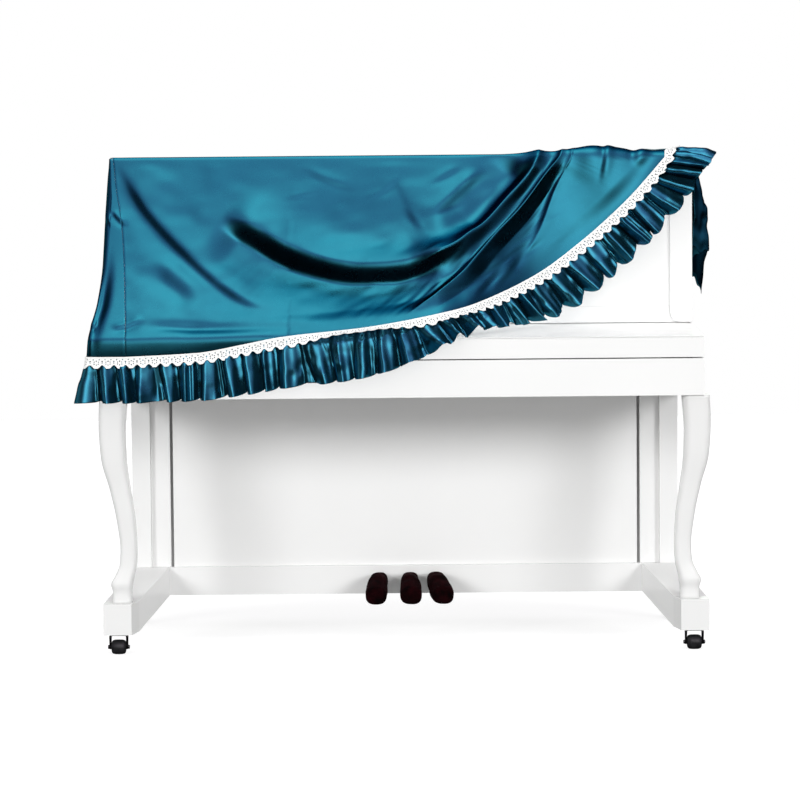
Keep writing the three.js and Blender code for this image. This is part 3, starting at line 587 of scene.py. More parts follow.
def lift_at(x, q, uneven=0):
    room = np.maximum(LID_FRONT - EDGE_CLEAR - profile(x, q)[..., 1], 0)
    sag = -SAG_DEPTH * np.sin(np.pi * np.clip(q / hem_drop(x), 0, 1))
    lift = smooth_step((SAG_RIGHT - x) / SAG_REACH) * sag + uneven
    for fold in FOLDS.values():
        lift = lift + fold_height(fold, x, q)
    lift = lift * smooth_step((hem_drop(x) - q) / HEM_CALM)
    lift = lift + lid_edge_lift(-q) * smooth_step((x - LIFT_LEFT) / LIFT_REACH)
    return np.maximum(lift, np.where(q > 0, -room, 0))


def drape(x, q, uneven=0):
    """Points of the cover's top and front, with its folds."""
    x, q = np.broadcast_arrays(np.asarray(x, float), np.asarray(q, float))
    way = profile(x, q + 1) - profile(x, q - 1)
    outward = unit(grid_of(0.0, way[..., 2], -way[..., 1]))
    return profile(x, q) + outward * lift_at(x, q, uneven)[..., None]


def lid_x(column, q):
    share = (grain_top(column) - GRAIN["top"][0]) / (HEM_END - GRAIN["top"][0])
    return mix(seam_x(q), lid_edge_x(-q), share)


def front_place(column, down):
    foot = grain_foot(column)
    q = hem_drop(foot) * down
    straight = mix(grain_top(column), foot, down)
    seam_shift = seam_x(q) - mix(GRAIN["top"][0], GRAIN["foot"][0], down)
    return straight + seam_shift * (1 - column / COLUMNS) ** SEAM_POWER, q


# Mesh making
def metres(points):
    return (np.asarray(points, float).reshape(-1, 3) + (0, CASE_FRONT, 0)) * MM


def add_mesh(name, points, faces, smooth=True):
    mesh = bpy.data.meshes.new(name)
    mesh.from_pydata(metres(points).tolist(), [], faces)
    mesh.update()
    mesh.polygons.foreach_set("use_smooth", [smooth] * len(mesh.polygons))
    piece = bpy.data.objects.new(name, mesh)
    bpy.context.scene.collection.objects.link(piece)
    return piece


def thicken(piece, thickness):
    made = piece.modifiers.new("thickness", "SOLIDIFY")
    made.thickness = thickness * MM
    made.offset = 0
    even = piece.modifiers.new("edge shading", "WEIGHTED_NORMAL")
    even.weight = 100


def grid_faces(rows, columns, around=False):
    i = np.arange(rows - 1)[:, None]
    j = np.arange(columns if around else columns - 1)[None, :]
    k = (j + 1) % columns
    near, far = i * columns, (i + 1) * columns
    quads = grid_of(near + j, far + j, far + k, near + k)
    return quads.reshape(-1, 4).tolist()


def add_sheet(name, grid, thickness):
    rows, columns = grid.shape[:2]
    piece = add_mesh(name, grid, grid_faces(rows, columns))
    thicken(piece, thickness)
    return piece


def add_loft(name, rings):
    """A closed body through rings of points, with flat ends."""
    rows, sides = rings.shape[:2]
    faces = grid_faces(rows, sides, around=True)
    faces.append(list(range(sides)))
    faces.append(list(range((rows - 1) * sides, rows * sides))[::-1])
    piece = add_mesh(name, rings, faces)
    piece.data.polygons.foreach_set("use_smooth", [len(f) == 4 for f in faces])
    return piece


# Materials
def new_material(name, **values):
    material = bpy.data.materials.new(name)
    material.use_nodes = True
    nodes = material.node_tree.nodes
    shader = nodes["Principled BSDF"]
    for socket, value in values.items():
        shader.inputs[socket.replace("_", " ")].default_value = value
    coords = nodes.new("ShaderNodeTexCoord")
    return material, shader, coords.outputs["Object"]


def add_node(owner, kind, inputs=(), **settings):
    """A node in the tree of a material or a world, with values or other nodes' outputs as its inputs."""
    node = owner.node_tree.nodes.new(kind)
    for key, value in settings.items():
        setattr(node, key, value)
    for socket, value in dict(inputs).items():
        if isinstance(value, bpy.types.NodeSocket):
            owner.node_tree.links.new(value, node.inputs[socket])
        else:
            node.inputs[socket].default_value = value
    return node


def noise(material, coords, scale, detail=3):
    node = add_node(material, "ShaderNodeTexNoise", {"Vector": coords, "Scale": scale, "Detail": detail})
    return node.outputs["Fac"]


def two_tone(material, shader, factor, dark, light, low=0.3, high=0.7):
    """Base colour between two tones, by a texture."""
    node = add_node(material, "ShaderNodeValToRGB", {"Fac": factor})
    stops = node.color_ramp.elements
    stops[0].position, stops[1].position = low, high
    stops[0].color, stops[1].color = (*dark, 1), (*light, 1)
    material.node_tree.links.new(node.outputs["Color"], shader.inputs["Base Color"])


def vary(material, shader, socket, factor, low, high):
    node = add_node(material, "ShaderNodeMapRange", {"Value": factor, "To Min": low, "To Max": high})
    material.node_tree.links.new(node.outputs["Result"], shader.inputs[socket])


def relief(material, shader, height, strength, depth):
    node = add_node(material, "ShaderNodeBump", {"Height": height, "Strength": strength, "Distance": depth})
    material.node_tree.links.new(node.outputs["Normal"], shader.inputs["Normal"])


def make_satin(name, gleam, tone):
    """Satin in one tone: the less it gleams, the more light it scatters."""
    material, shader, coords = new_material(name, Metallic=gleam, Anisotropic=0.25)
    shader.inputs["Specular Tint"].default_value = (0.08, 0.3, 0.4, 1)
    dark = np.array((0.0085, 0.068, 0.1)) * tone
    light = np.array((0.0098, 0.077, 0.109)) * tone
    two_tone(material, shader, noise(material, coords, 5), dark, light)
    vary(material, shader, "Roughness", noise(material, coords, 40), 0.25, 0.31)
    threads = add_node(
        material, "ShaderNodeTexWave", {"Vector": coords, "Scale": 420.0, "Distortion": 1.5, "Detail": 1.0},
        bands_direction="DIAGONAL",
    )
    relief(material, shader, threads.outputs["Fac"], 0.06, 0.0002)
    return material


def make_lace():
    material, shader, coords = new_material("lace", Roughness=0.85)
    shader.inputs["Sheen Weight"].default_value = 0.2
    two_tone(material, shader, noise(material, coords, 300), (0.86, 0.86, 0.85), (0.93, 0.93, 0.92))
    threads = add_node(material, "ShaderNodeTexVoronoi", {"Vector": coords, "Scale": 700.0})
    relief(material, shader, threads.outputs["Distance"], 0.4, 0.0004)
    return material


def make_lacquer(name, tone):
    material, shader, coords = new_material(name, Specular_IOR_Level=0.08)
    dark, light = (tone, tone, tone - 0.005), (tone + 0.02, tone + 0.02, tone + 0.015)
    two_tone(material, shader, noise(material, coords, 3), dark, light)
    vary(material, shader, "Roughness", noise(material, coords, 25), 0.18, 0.26)
    relief(material, shader, noise(material, coords, 60), 0.05, 0.0003)
    return material


def make_velvet():
    material, shader, coords = new_material("sock_velvet", Roughness=0.9, Specular_IOR_Level=0.04)
    shader.inputs["Sheen Weight"].default_value = 0.02
    shader.inputs["Sheen Tint"].default_value = (0.5, 0.12, 0.16, 1)
    dark, light = (0.0012, 0.0005, 0.0006), (0.011, 0.0014, 0.0022)
    two_tone(material, shader, noise(material, coords, 45), dark, light, low=0.35, high=0.75)
    relief(material, shader, noise(material, coords, 900), 0.35, 0.001)
    return material


def make_rubber():
    material, shader, coords = new_material("caster_rubber", Specular_IOR_Level=0.3)
    two_tone(material, shader, noise(material, coords, 80), (0.008, 0.008, 0.009), (0.02, 0.02, 0.022))
    vary(material, shader, "Roughness", noise(material, coords, 150), 0.35, 0.55)
    relief(material, shader, noise(material, coords, 500), 0.15, 0.0004)
    return material


def make_steel():
    material, shader, coords = new_material("caster_steel", Metallic=1.0)
    two_tone(material, shader, noise(material, coords, 40), (0.05, 0.05, 0.052), (0.16, 0.16, 0.165))
    vary(material, shader, "Roughness", noise(material, coords, 200), 0.2, 0.4)
    return material


SATIN = make_satin("satin", 1.0, 1.0)
# The ruffle's satin is the cover's satin with a lighter base colour and more scattered light: painted light
# that brightens the pleats.
LIGHTER_RUFFLE_SATIN = make_satin("ruffle_satin_painted_light", 0.92, (2.1, 1.55, 1.55))
LACE_WHITE = make_lace()
LACQUER = make_lacquer("lacquer", 0.89)
# Legs and toes get a greyer copy of the same lacquer: painted shade, so the lower parts of the case look less
# lit than the upper ones.
SHADED_LEG_LACQUER = make_lacquer("leg_lacquer_painted_shade", 0.81)
VELVET, RUBBER, STEEL = make_velvet(), make_rubber(), make_steel()


def finish_piece(piece, material, slot, *nodes):
    piece.data.materials.append(material)
    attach(piece, BODY)
    if nodes:
        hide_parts(*nodes)
    return piece


# Main panel
def panel_columns():
    return np.linspace(0, COLUMNS, COLUMNS * PANEL_FINE + 1)


def panel_grid():
    columns = panel_columns()[None, :]
    top_q = spread(TOP_ROWS)[:, None]
    top_x = lid_x(columns, top_q)
    x, q = front_place(columns, np.linspace(0, 1, FRONT_ROWS)[:, None])
    x = np.concatenate([top_x, x])
    q = np.concatenate([np.broadcast_to(top_q, top_x.shape), q])
    uneven = sum(
        size * soft_noise(x.shape, (round(rows), round(steps)), SEED + k)
        for k, (size, rows, steps) in enumerate(each(UNEVEN, "size rows columns"))
    )
    calm = smooth_step(q / UNEVEN_START) * smooth_step((CALM_RIGHT - x) / CALM_REACH)
    return drape(x, q, uneven * calm)


# Left gusset
def gusset_rows(share):
    """Points at shares of the drop, from the front seam round the corner to the back."""
    share = np.asarray(share, float)[:, None]
    drop = mix(GUSSET_FIRST_DROP, hem_drop(LEFT["seam"][-1]), share)
    seam, corner = seam_x(drop) - SEAM_GAP, corner_x(drop)
    start = drape(seam, drop)
    y0, z0 = start[..., 1], start[..., 2]
    round_off = np.minimum(GUSSET_ROUND, (seam - corner) / 2)
    flat = drape(mix(seam, corner + round_off, GUSSET_FRONT), drop)
    angle = GUSSET_TURN * math.pi / 2
    bend = grid_of(
        corner + round_off * (1 - np.sin(angle)),
        y0 + round_off * (1 - np.cos(angle)),
        z0,
    )
    back_x = mix(LEFT["corner"][0], GUSSET_BACK_X, share)
    wall = grid_of(
        mix(corner, back_x, smooth_step(GUSSET_SIDE)),
        mix(y0 + round_off, GUSSET_BACK, GUSSET_SIDE),
        z0,
    )
    points = np.concatenate([flat, bend, wall], axis=1)
    behind = points[..., 1] - y0
    points[..., 2] += (1 - share) ** RISE_POWER * (GUSSET_TOP - z0) * smooth_step(behind / GUSSET_RISE)
    crease = CORNER_CREASE["depth"] * bell(drop - CORNER_CREASE["drop"], CORNER_CREASE["reach"])
    points[..., 1] += crease * bell(points[..., 0] - corner - round_off, CORNER_CREASE["width"])
    return points


def gusset_grid():
    return gusset_rows(np.linspace(0, 1, GUSSET_ROWS))[:, ::-1]


# Hem, ruffle and lace
def hem_frames(step):
    """Places in even steps along the hem, with the directions that the ruffle and the lace need there."""
    low, above = gusset_rows([1, ABOVE_HEM["gusset"]])[:, ::-1]
    columns = panel_columns()
    edge = drape(*front_place(columns, 1))
    inside = drape(*front_place(columns, ABOVE_HEM["panel"]))
    back = spread(LID_EDGE_STEPS)
    lid_edge = drape(lid_edge_x(back), -back)
    lid_inside = drape(lid_x(COLUMNS - 1, -back), -back)
    edges = np.concatenate([low, edge, lid_edge])
    insides = np.concatenate([above, inside, lid_inside])
    runs = np.concatenate([[0], np.cumsum(np.linalg.norm(np.diff(edges, axis=0), axis=1))])
    length = runs[-1]

    def at(run, points):
        return np.stack([np.interp(run, runs, points[:, k]) for k in range(3)], axis=-1)

    run = np.linspace(0, length, round(length / step) + 1)
    place = at(run, edges)
    along = unit(at(run + HEM_REACH, edges) - at(run - HEM_REACH, edges))
    up = at(run, insides) - place
    up = unit(up - along * np.sum(up * along, axis=-1, keepdims=True))
    share = run / length
    down = np.stack([follow(RUFFLE_FALL, "share", axis)(share) for axis in "xyz"], axis=-1)
    tilt = follow(FORWARD, "share", "tilt")(share)
    return dict(
        run=run, share=share, place=place, along=along, up=up, down=down, tilt=tilt,
        out=unit(np.cross(down, along)), cloth_out=unit(np.cross(along, up)),
    )


def along_hem(count, steps, seed):
    """Uneven values about zero along the hem, the same from top to bottom."""
    return soft_noise((2, count), (1, steps), seed)[:1]


def past_start(hem, zone):
    """From zero to one along the hem, where a zone starts."""
    return smooth_step((hem["share"] - zone["start"]) / zone["reach"])[None, :]


def pleat_turn(hem, share, count):
    """Angle along the row of pleats, with more pleats at the lid's corner, and a twist down the ruffle."""
    run = hem["run"][None, :]
    uneven = sum(
        size * np.sin(run / length + shift) for length, shift, size in each(PLEAT_WAVES, "length shift size")
    )
    turns = run / PLEAT + uneven
    extra = EXTRA_PLEATS["count"] * past_start(hem, EXTRA_PLEATS)
    twist = PLEAT_TWIST["size"] * share * along_hem(count, PLEAT_TWIST["steps"], SEED + 3)
    return 2 * np.pi * turns - np.pi / 2 + 2 * np.pi * extra + twist


def pleat_swell(hem, share, count):
    """How far the pleats swell, less on the lid and on the left side."""
    on_side = smooth_step((ON_SIDE["end"] - hem["share"]) / ON_SIDE["reach"])[None, :]
    calm = mix(1, ON_LID["swell"], past_start(hem, ON_LID)) * mix(1, ON_SIDE["swell"], on_side)
    strength = 1 + PLEAT_STRENGTH["size"] * along_hem(count, PLEAT_STRENGTH["steps"], SEED + 2)
    strength = np.clip(strength, PLEAT_STRENGTH["low"], PLEAT_STRENGTH["high"]) * calm
    flare = PLEAT_FLARE["mean"] + PLEAT_FLARE["size"] * along_hem(count, PLEAT_FLARE["steps"], SEED + 5)
    flare = np.clip(flare, PLEAT_FLARE["low"], PLEAT_FLARE["high"])
    flare = mix(flare, ON_SIDE["flare"], on_side)
    return mix(RUFFLE["head"], RUFFLE["foot"], share**flare) * strength


def ruffle_grid():
    hem = hem_frames(RUFFLE["step"])
    share = np.linspace(0, 1, RUFFLE["rows"] + 1)[:, None]
    count = len(hem["run"])
    turn = pleat_turn(hem, share, count)
    second = PLEAT_FACETS["second"] * np.cos(2 * turn + PLEAT_FACETS["shift"])
    third = PLEAT_FACETS["third"] * along_hem(count, PLEAT_FACETS["steps"], SEED + 6) * np.sin(3 * turn)
    height = pleat_swell(hem, share, count) * (np.cos(turn) + second + third)
    crumple = soft_noise((RUFFLE["rows"] + 1, count), (CRUMPLE["rows"], CRUMPLE["steps"]), SEED + 4)
    crumple = crumple * CRUMPLE["size"] * np.sin(np.pi * share * CRUMPLE["reach"])
    stand = mix(RUFFLE["tuck"], RUFFLE["flare"], share)
    length = np.linalg.norm(hem["down"], axis=1)[None, :]
    depth = share * length
    free = FREE_RATE * np.maximum(depth - LACE["deep"] + LACE["notch"], 0)
    outward = np.minimum(stand + height + crumple, lace_stand(depth) - UNDER_LACE + free)
    lean = mix(PLEAT_LEAN["left"], PLEAT_LEAN["right"], past_start(hem, PLEAT_LEAN))
    aside = PLEAT_SPREAD * np.sin(turn) - lean * np.cos(turn)
    sideways = smooth_step(share * SPREAD_RATE) * PLEAT / (2 * np.pi) * aside
    lobe = PLEAT_LOBE["size"] * (PLEAT_LOBE["left"] + PLEAT_LOBE["more"] * past_start(hem, PLEAT_LOBE))
    fall = mix(RUFFLE["start"] / length, 1 + lobe * (2 * np.abs(np.cos(turn / 2)) - 1), share)
    forward = FORWARD_REACH * hem["tilt"][None, :] * smooth_step(share * FORWARD_RATE)
    droop = -ON_LID["droop"] * past_start(hem, ON_LID) * share**2
    points = (
        hem["place"][None]
        + hem["down"][None] * fall[..., None]
        + hem["out"][None] * outward[..., None]
        + hem["along"][None] * sideways[..., None]
        + np.array(FORWARD_WAY) * forward[..., None]
        + np.array((0, 0, 1)) * droop[..., None]
    )
    x, y, z = np.moveaxis(points, -1, 0)
    on_keyboard = (np.abs(x) < BED_HALF + CLEAR) & (z < FALL_TOP + CLEAR)
    points[..., 1] = np.where(on_keyboard, np.minimum(y, BED_FRONT - CLEAR), y)
    return points


def lace_stand(below):
    """How far the lace stands off the cloth, by the way down from the hem."""
    return LACE["stand"] + LACE["flare"] * (np.minimum(below, LACE["deep"]) / LACE["deep"]) ** 2


def lace_pattern(run, depth):
    """Above zero where the lace has thread: scalloped below, with round holes; and its relief."""
    u = run / LACE["scallop"] % 1
    picots = LACE["picot"] * np.cos(2 * np.pi * LACE["picots"] * u)
    scallop = np.abs(np.sin(np.pi * u)) ** LACE["round"] + picots
    solid = LACE["deep"] - LACE["notch"] * (1 - scallop) - depth
    for hole_u, hole_v, radius in each(LACE_HOLES, "u v radius"):
        side = np.abs(u - hole_u)
        side = np.minimum(side, 1 - side) * LACE["scallop"]
        solid = np.minimum(solid, np.hypot(side, depth - hole_v) - radius)
    cord = LACE_CORD["height"] * bell(depth - LACE_CORD["at"], LACE_CORD["width"])
    ring = np.hypot((u - LACE_RING["u"]) * LACE["scallop"], depth - LACE_RING["v"]) - LACE_RING["radius"]
    return solid, cord + LACE_RING["height"] * bell(ring, LACE_RING["width"])


def lace_mesh():
    hem = hem_frames(LACE["scallop"] / LACE["steps"])
    depth = np.linspace(0, LACE["deep"] + LACE["margin"], LACE["rows"] + 1)[:, None]
    solid, raised = lace_pattern(hem["run"][None, :], depth)
    above = np.maximum(LACE["above"] - depth, 0)
    below = np.maximum(depth - LACE["above"], 0)
    turn = smooth_step((depth - LACE["above"] + LACE["turn"]) / (2 * LACE["turn"]))[..., None]
    fall = unit(mix(unit(hem["down"]), np.array(FORWARD_WAY), hem["tilt"][:, None]))
    outward = unit(mix(hem["cloth_out"], unit(np.cross(fall, hem["along"])), turn))
    stand = lace_stand(below) + raised
    points = (
        hem["place"][None]
        + hem["up"][None] * above[..., None]
        + fall[None] * below[..., None]
        + outward * stand[..., None]
    )
    return clip_grid(points, solid)


def clip_grid(points, solid):
    """The part of a grid of points where a value on it is above zero, cut along the zero line."""
    rows, columns = solid.shape
    corners = points.reshape(-1, 3)
    values = solid.ravel()
    used, faces, places = {}, [], []

    def vertex(a, b):
        key = (min(a, b), max(a, b))
        if key not in used:
            used[key] = len(places)
            share = 0
            if a != b:
                share = np.clip(values[a] / (values[a] - values[b]), CUT_MARGIN, 1 - CUT_MARGIN)
            places.append(mix(corners[a], corners[b], share))
        return used[key]

    for i in range(rows - 1):
        for j in range(columns - 1):
            first = i * columns + j
            cell = (first, first + columns, first + columns + 1, first + 1)
            kept = [values[k] > 0 for k in cell]
            if not any(kept):
                continue
            face = []
            for k in range(4):
                a, b = cell[k], cell[(k + 1) % 4]
                if kept[k]:
                    face.append(vertex(a, a))
                if kept[k] != kept[(k + 1) % 4]:
                    face.append(vertex(*((a, b) if kept[k] else (b, a))))
            faces.append(face)
    return np.array(places), faces


# Right tail
def tail_grid():
    share = np.linspace(0, 1, TAIL["columns"])[None, :]
    lie = LID_TOP + LIE
    flat_x = np.linspace(TAIL["start"], TAIL["turn"] - TAIL["bend"], TAIL["flat_rows"])[:, None]
    depth = mix(TAIL["front"], TAIL["back"], share)
    flat = grid_of(flat_x, depth, lie)
    turn = grid_of(TAIL["turn"], depth, lie - TAIL["bend"])
    way_down = np.linspace(0, 1, TAIL["rows"])[:, None]
    ragged = TAIL_EDGE["ragged"] * np.sin(share * TAIL_EDGE["teeth"])
    low = follow(TAIL_FOLDS, "share", "low")(share) + ragged
    z = mix(TAIL_SIDES["z"][-1], low, way_down)
    sway = TAIL_SWAY["size"] * np.sin(z / TAIL_SWAY["length"]) * np.sin(np.pi * share)
    fold = follow(TAIL_FOLDS, "share", "fold")(share + sway)
    crumple = soft_noise(z.shape, (TAIL_CRUMPLE["rows"], TAIL_CRUMPLE["columns"]), SEED + 9)
    crumple = crumple * TAIL_CRUMPLE["size"] * np.sin(np.pi * way_down)
    inner, outer = follow(TAIL_SIDES, "z", "inner")(z), follow(TAIL_SIDES, "z", "outer")(z)
    x = np.maximum(mix(inner, outer, fold) + crumple, inner)
    return np.concatenate([flat, turn, grid_of(x, depth, z)])


# Piano pieces that replace plainer solids
def squared(side, up, power):
    """Reach of a square with round corners, against a circle's, in a direction."""
    return (np.abs(side) ** power + np.abs(up) ** power) ** (-1 / power)


def add_leg(name, side):
    z = np.linspace(LEG["z"][0], LEG["z"][-1], LEG_RINGS)[:, None]
    half, middle = follow(LEG, "z", "half")(z), follow(LEG, "z", "x")(z)
    angle = np.linspace(0, 2 * np.pi, LEG_SIDES, endpoint=False)[None, :] + np.pi / LEG_SIDES
    square = half * squared(np.cos(angle), np.sin(angle), LEG_SQUARE)
    rings = grid_of(side * middle + square * np.cos(angle), LEG_Y + square * np.sin(angle), z)
    # The legs get the greyer lacquer, painted shade on the lower parts.
    finish_piece(add_loft(name + "_curved", rings[::-1]), SHADED_LEG_LACQUER, "lacquer", name)


def add_sock(name, x, lean, seed):
    y = np.linspace(SOCK["y"][0], SOCK["y"][-1], SOCK_RINGS)[:, None]
    angle = np.linspace(0, 2 * np.pi, SOCK_SIDES, endpoint=False)[None, :]
    body = np.sin(np.pi * np.linspace(0, 1, SOCK_RINGS))[:, None]
    cells = (SOCK_WRINKLE["rings"], SOCK_WRINKLE["sides"])
    uneven = soft_noise((SOCK_RINGS, SOCK_SIDES + 1), cells, seed)[:, :-1]
    wrinkle = 1 + SOCK_WRINKLE["size"] * body * uneven
    across = follow(SOCK, "y", "halfX")(y) * wrinkle
    high = follow(SOCK, "y", "halfZ")(y) * wrinkle
    middle = x + lean * follow(SOCK, "y", "lean")(y)
    level = follow(SOCK, "y", "z")(y)
    side, up = np.cos(angle), np.sin(angle)
    square = squared(side, up, SOCK_SQUARE)
    rings = grid_of(middle + across * square * side, y, level + high * square * up)
    piece = finish_piece(add_loft(name + "_soft", rings), VELVET, "pedal_sock", name)


def turned(rows, x, y, sides):
    """Rings of a body turned about a caster's axle."""
    angle = np.linspace(0, 2 * np.pi, sides, endpoint=False)[None, :]
    across, radius = rows["across"][:, None], rows["radius"][:, None]
    return grid_of(x + across, y + radius * np.cos(angle), CASTER_RADIUS + radius * np.sin(angle))


def add_wheel(name, x, y):
    wheel = add_loft(f"{name}_tyre", turned(WHEEL_PROFILE, x, y, WHEEL_SIDES)[::-1])
    finish_piece(wheel, RUBBER, "caster_wheel", f"{name}_wheel")
    for side in (-1, 1):
        rows = {"across": side * -AXLE["across"], "radius": AXLE["radius"]}
        rings = turned(rows, x, y, WHEEL_SIDES // 2)
        finish_piece(add_loft(f"{name}_axle_{side + 1}", rings[::-side]), STEEL, "caster_fork")


def add_fork(name, x, y):
    half, corner, top = FORK["half"], FORK["corner"], FORK["top"]
    angle = np.linspace(0, np.pi / 2, FORK_STEPS["bend"])
    bend_x, bend_z = half - corner + corner * np.cos(angle), top - corner + corner * np.sin(angle)
    legs = np.linspace(FORK["low"], top - corner, FORK_STEPS["leg"])[:-1]
    across = np.concatenate([np.full(len(legs), half), bend_x])
    high = np.concatenate([legs, bend_z])
    deep = mix(FORK["foot"], FORK["deep"], smooth_step((high - FORK["axle"]) / (top - FORK["axle"])))
    foot = (high - FORK["low"] + FORK_FOOT["lead"]) / FORK_FOOT["reach"]
    deep = deep * np.sqrt(np.clip(foot, FORK_FOOT["least"], 1))
    across, high, deep = (np.concatenate([v, s * v[::-1]]) for v, s in ((across, -1), (high, 1), (deep, 1)))
    depths = np.linspace(1, -1, FORK_STEPS["deep"])[:, None]
    strip = grid_of(x - across, y + depths * deep, high)
    finish_piece(add_sheet(f"{name}_bracket", strip, FORK["thick"]), STEEL, "caster_fork", f"{name}_fork")


def dress_piano():
    slots = {row["node"]: row["material_slot"] for row in frame["record"]["subparts"]}
    for node, piece in frame["nodes"].items():
        if slots[node] != "lacquer":
            continue
        piece.data.materials.clear()
        # Toes get the greyer lacquer, painted shade on the lower parts.
        piece.data.materials.append(SHADED_LEG_LACQUER if node.startswith("toe") else LACQUER)
        bevel = piece.modifiers.new("edges", "BEVEL")
        bevel.width = EDGES.get(node, EDGE) * MM
        bevel.segments = EDGE_STEPS
        bevel.limit_method = "ANGLE"
        bevel.angle_limit = math.radians(EDGE_ANGLE)
    for end, side in (("left", -1), ("right", 1)):
        add_leg(f"leg_{end}", side)
        for place, (x, y) in CASTER_PLACES.items():
            add_wheel(f"caster_{place}_{end}", side * x, y)
            add_fork(f"caster_{place}_{end}", side * x, y)
    for k, (x, lean) in enumerate(each(SOCKS, "x lean")):
        add_sock(f"pedal_sock_{k + 1}", x, lean, SEED + 20 + k)


def dress_cover():
    panel = add_sheet("panel_satin", panel_grid(), SATIN_THICK)
    gusset = add_sheet("gusset_satin", gusset_grid(), SATIN_THICK)
    tail = add_sheet("tail_satin", tail_grid(), SATIN_THICK)
    ruffle = add_sheet("ruffle_satin", ruffle_grid(), RUFFLE["thick"])
    lace = add_mesh("lace_scallops", *lace_mesh())
    thicken(lace, LACE["thick"])
    finish_piece(panel, SATIN, "satin", "main_panel")
    finish_piece(gusset, SATIN, "satin", "left_gusset")
    finish_piece(tail, SATIN, "satin", "right_tail")
    # The ruffle gets the lighter copy of the satin, painted light on its pleats.
    finish_piece(ruffle, LIGHTER_RUFFLE_SATIN, "satin", "ruffle")
    finish_piece(lace, LACE_WHITE, "lace", "lace_band")
    panel.visible_shadow = ruffle.visible_shadow = False


# Stage
def calculate(owner, operation, *values):
    return add_node(owner, "ShaderNodeMath", dict(enumerate(values)), operation=operation).outputs[0]


def add_sky(world, parts):
    """Colour of the sky, by the parts of a direction."""
    behind = calculate(world, "MAXIMUM", parts["Y"], 0.0)
    high = calculate(world, "MULTIPLY_ADD", behind, SKY_BEHIND, parts["Z"])
    aside = calculate(world, "ABSOLUTE", parts["X"])
    aside = calculate(world, "SUBTRACT", aside, SKY_ASIDE["free"])
    aside = calculate(world, "MAXIMUM", aside, 0.0)
    dimming = calculate(world, "MULTIPLY_ADD", behind, SKY_ASIDE["dim_behind"], SKY_ASIDE["dim"])
    high = calculate(world, "MULTIPLY_ADD", aside, dimming, high)
    share = add_node(world, "ShaderNodeMapRange", {"Value": high, "From Min": -1.0, "From Max": 1.0})
    sky = add_node(world, "ShaderNodeValToRGB", {"Fac": share.outputs["Result"]})
    stops = sky.color_ramp.elements
    while len(stops) < len(SKY["place"]):
        stops.new(0.5)
    for stop, (place, *colour) in zip(stops, each(SKY, "place red green blue")):
        stop.position = place
        stop.color = (*colour, 1)
    return sky.outputs["Color"]


def add_glows(world, way, height, total):
    """The glows added to a colour, cut off at the height of the floor."""
    above_floor = add_node(
        world, "ShaderNodeMapRange", {"Value": height, "From Min": GLOW_LOW, "From Max": GLOW_FULL},
        interpolation_type="SMOOTHSTEP",
    ).outputs["Result"]
    for x, y, z, red, green, blue, tightness in each(GLOWS, "x y z red green blue tightness"):
        toward = add_node(world, "ShaderNodeVectorMath", {0: way, 1: (x, y, z)}, operation="DOT_PRODUCT")
        front = calculate(world, "MAXIMUM", toward.outputs["Value"], 0.0)
        glow = calculate(world, "POWER", front, tightness)
        glow = calculate(world, "MULTIPLY", glow, above_floor)
        inputs = {"Factor": glow, 6: total, 7: (red, green, blue, 1)}
        total = add_node(world, "ShaderNodeMix", inputs, data_type="RGBA", blend_type="ADD").outputs[2]
    return total


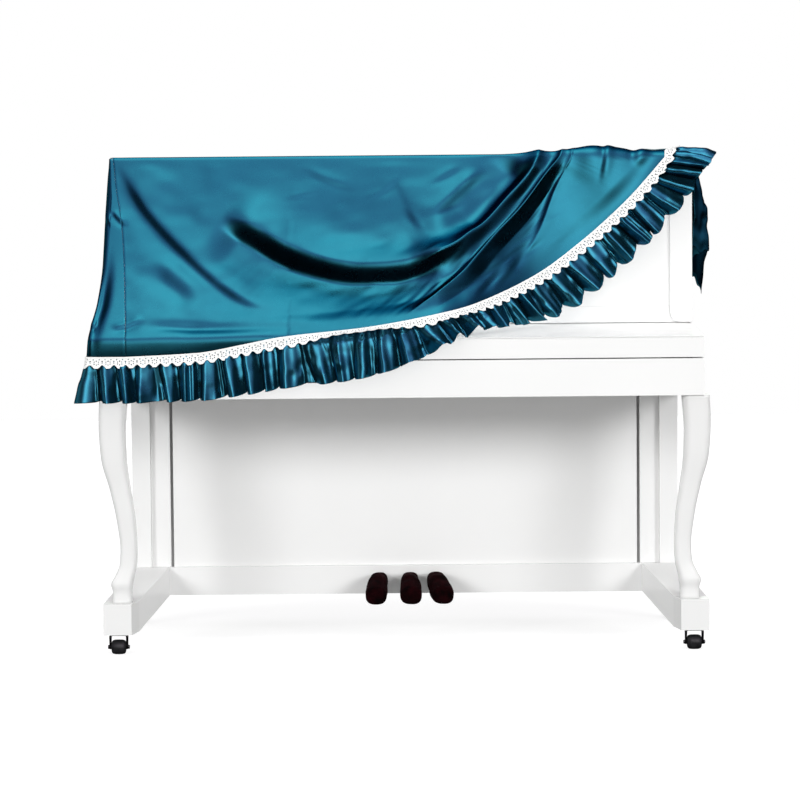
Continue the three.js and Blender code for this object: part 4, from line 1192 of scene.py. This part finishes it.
def add_world():
    """White to the camera and to matt surfaces, and the sky with its glows to what gleams."""
    world = bpy.data.worlds.new("studio")
    bpy.context.scene.world = world
    world.use_nodes = True
    world.node_tree.nodes.clear()
    way = add_node(world, "ShaderNodeTexCoord").outputs["Generated"]
    parts = add_node(world, "ShaderNodeSeparateXYZ", {0: way}).outputs
    seen = add_glows(world, way, parts["Z"], add_sky(world, parts))
    path = add_node(world, "ShaderNodeLightPath").outputs

    def background(colour, strength):
        return add_node(world, "ShaderNodeBackground", {"Color": colour, "Strength": strength}).outputs[0]

    white = (1, 1, 1, 1)
    plain, gleam = background(white, WORLD_STRENGTH), background(seen, GLEAM_STRENGTH)
    matt = add_node(world, "ShaderNodeMixShader", {0: path["Is Glossy Ray"], 1: plain, 2: gleam}).outputs[0]
    paper = background(white, 1.0)
    chosen = add_node(world, "ShaderNodeMixShader", {0: path["Is Camera Ray"], 1: matt, 2: paper}).outputs[0]
    add_node(world, "ShaderNodeOutputWorld", {0: chosen})


def add_lights():
    """Broad soft lights: two low ones, for the key bed's shadow on the lower panel, and a high one."""
    for strength, height, side in each(LIGHTS, "strength height side"):
        data = bpy.data.lights.new("soft_light", "SUN")
        data.energy = strength
        data.angle = math.radians(LIGHT_SPREAD)
        light = bpy.data.objects.new("soft_light", data)
        bpy.context.scene.collection.objects.link(light)
        turned_aside = Matrix.Rotation(math.radians(side), 4, "Z")
        light.matrix_world = turned_aside @ Matrix.Rotation(math.radians(90 - height), 4, "X")
        light.visible_glossy = False


def add_floor():
    reach = FLOOR_REACH
    points = [(-reach, -reach, 0), (reach, -reach, 0), (reach, reach, 0), (-reach, reach, 0)]
    floor = add_mesh("floor", points, [[0, 1, 2, 3]], smooth=False)
    material, shader, coords = new_material("floor_paper", Roughness=0.9)
    two_tone(material, shader, noise(material, coords, 2), (0.34, 0.34, 0.34), (0.36, 0.36, 0.36))
    shader.inputs["Emission Color"].default_value = (1, 1, 1, 1)
    shader.inputs["Emission Strength"].default_value = FLOOR_GLOW
    floor.data.materials.append(material)
    floor.visible_glossy = False
    floor.visible_diffuse = False


def add_camera():
    data = bpy.data.cameras.new("camera")
    data.lens = CAMERA_LENS
    data.sensor_width = CAMERA_SENSOR
    data.sensor_fit = "HORIZONTAL"
    data.clip_end = CAMERA_SIGHT
    camera = bpy.data.objects.new("camera", data)
    bpy.context.scene.collection.objects.link(camera)
    place = metres([CAMERA_PLACE])[0]
    upright = Matrix.Rotation(math.pi / 2 + CAMERA_PITCH, 4, "X")
    roll = Matrix.Rotation(CAMERA_ROLL, 4, "Z")
    camera.matrix_world = Matrix.Translation(place) @ upright @ roll
    bpy.context.scene.camera = camera


add_camera()
add_world()
add_lights()
add_floor()
dress_piano()
dress_cover()
bpy.context.scene.view_settings.view_transform = "Standard"
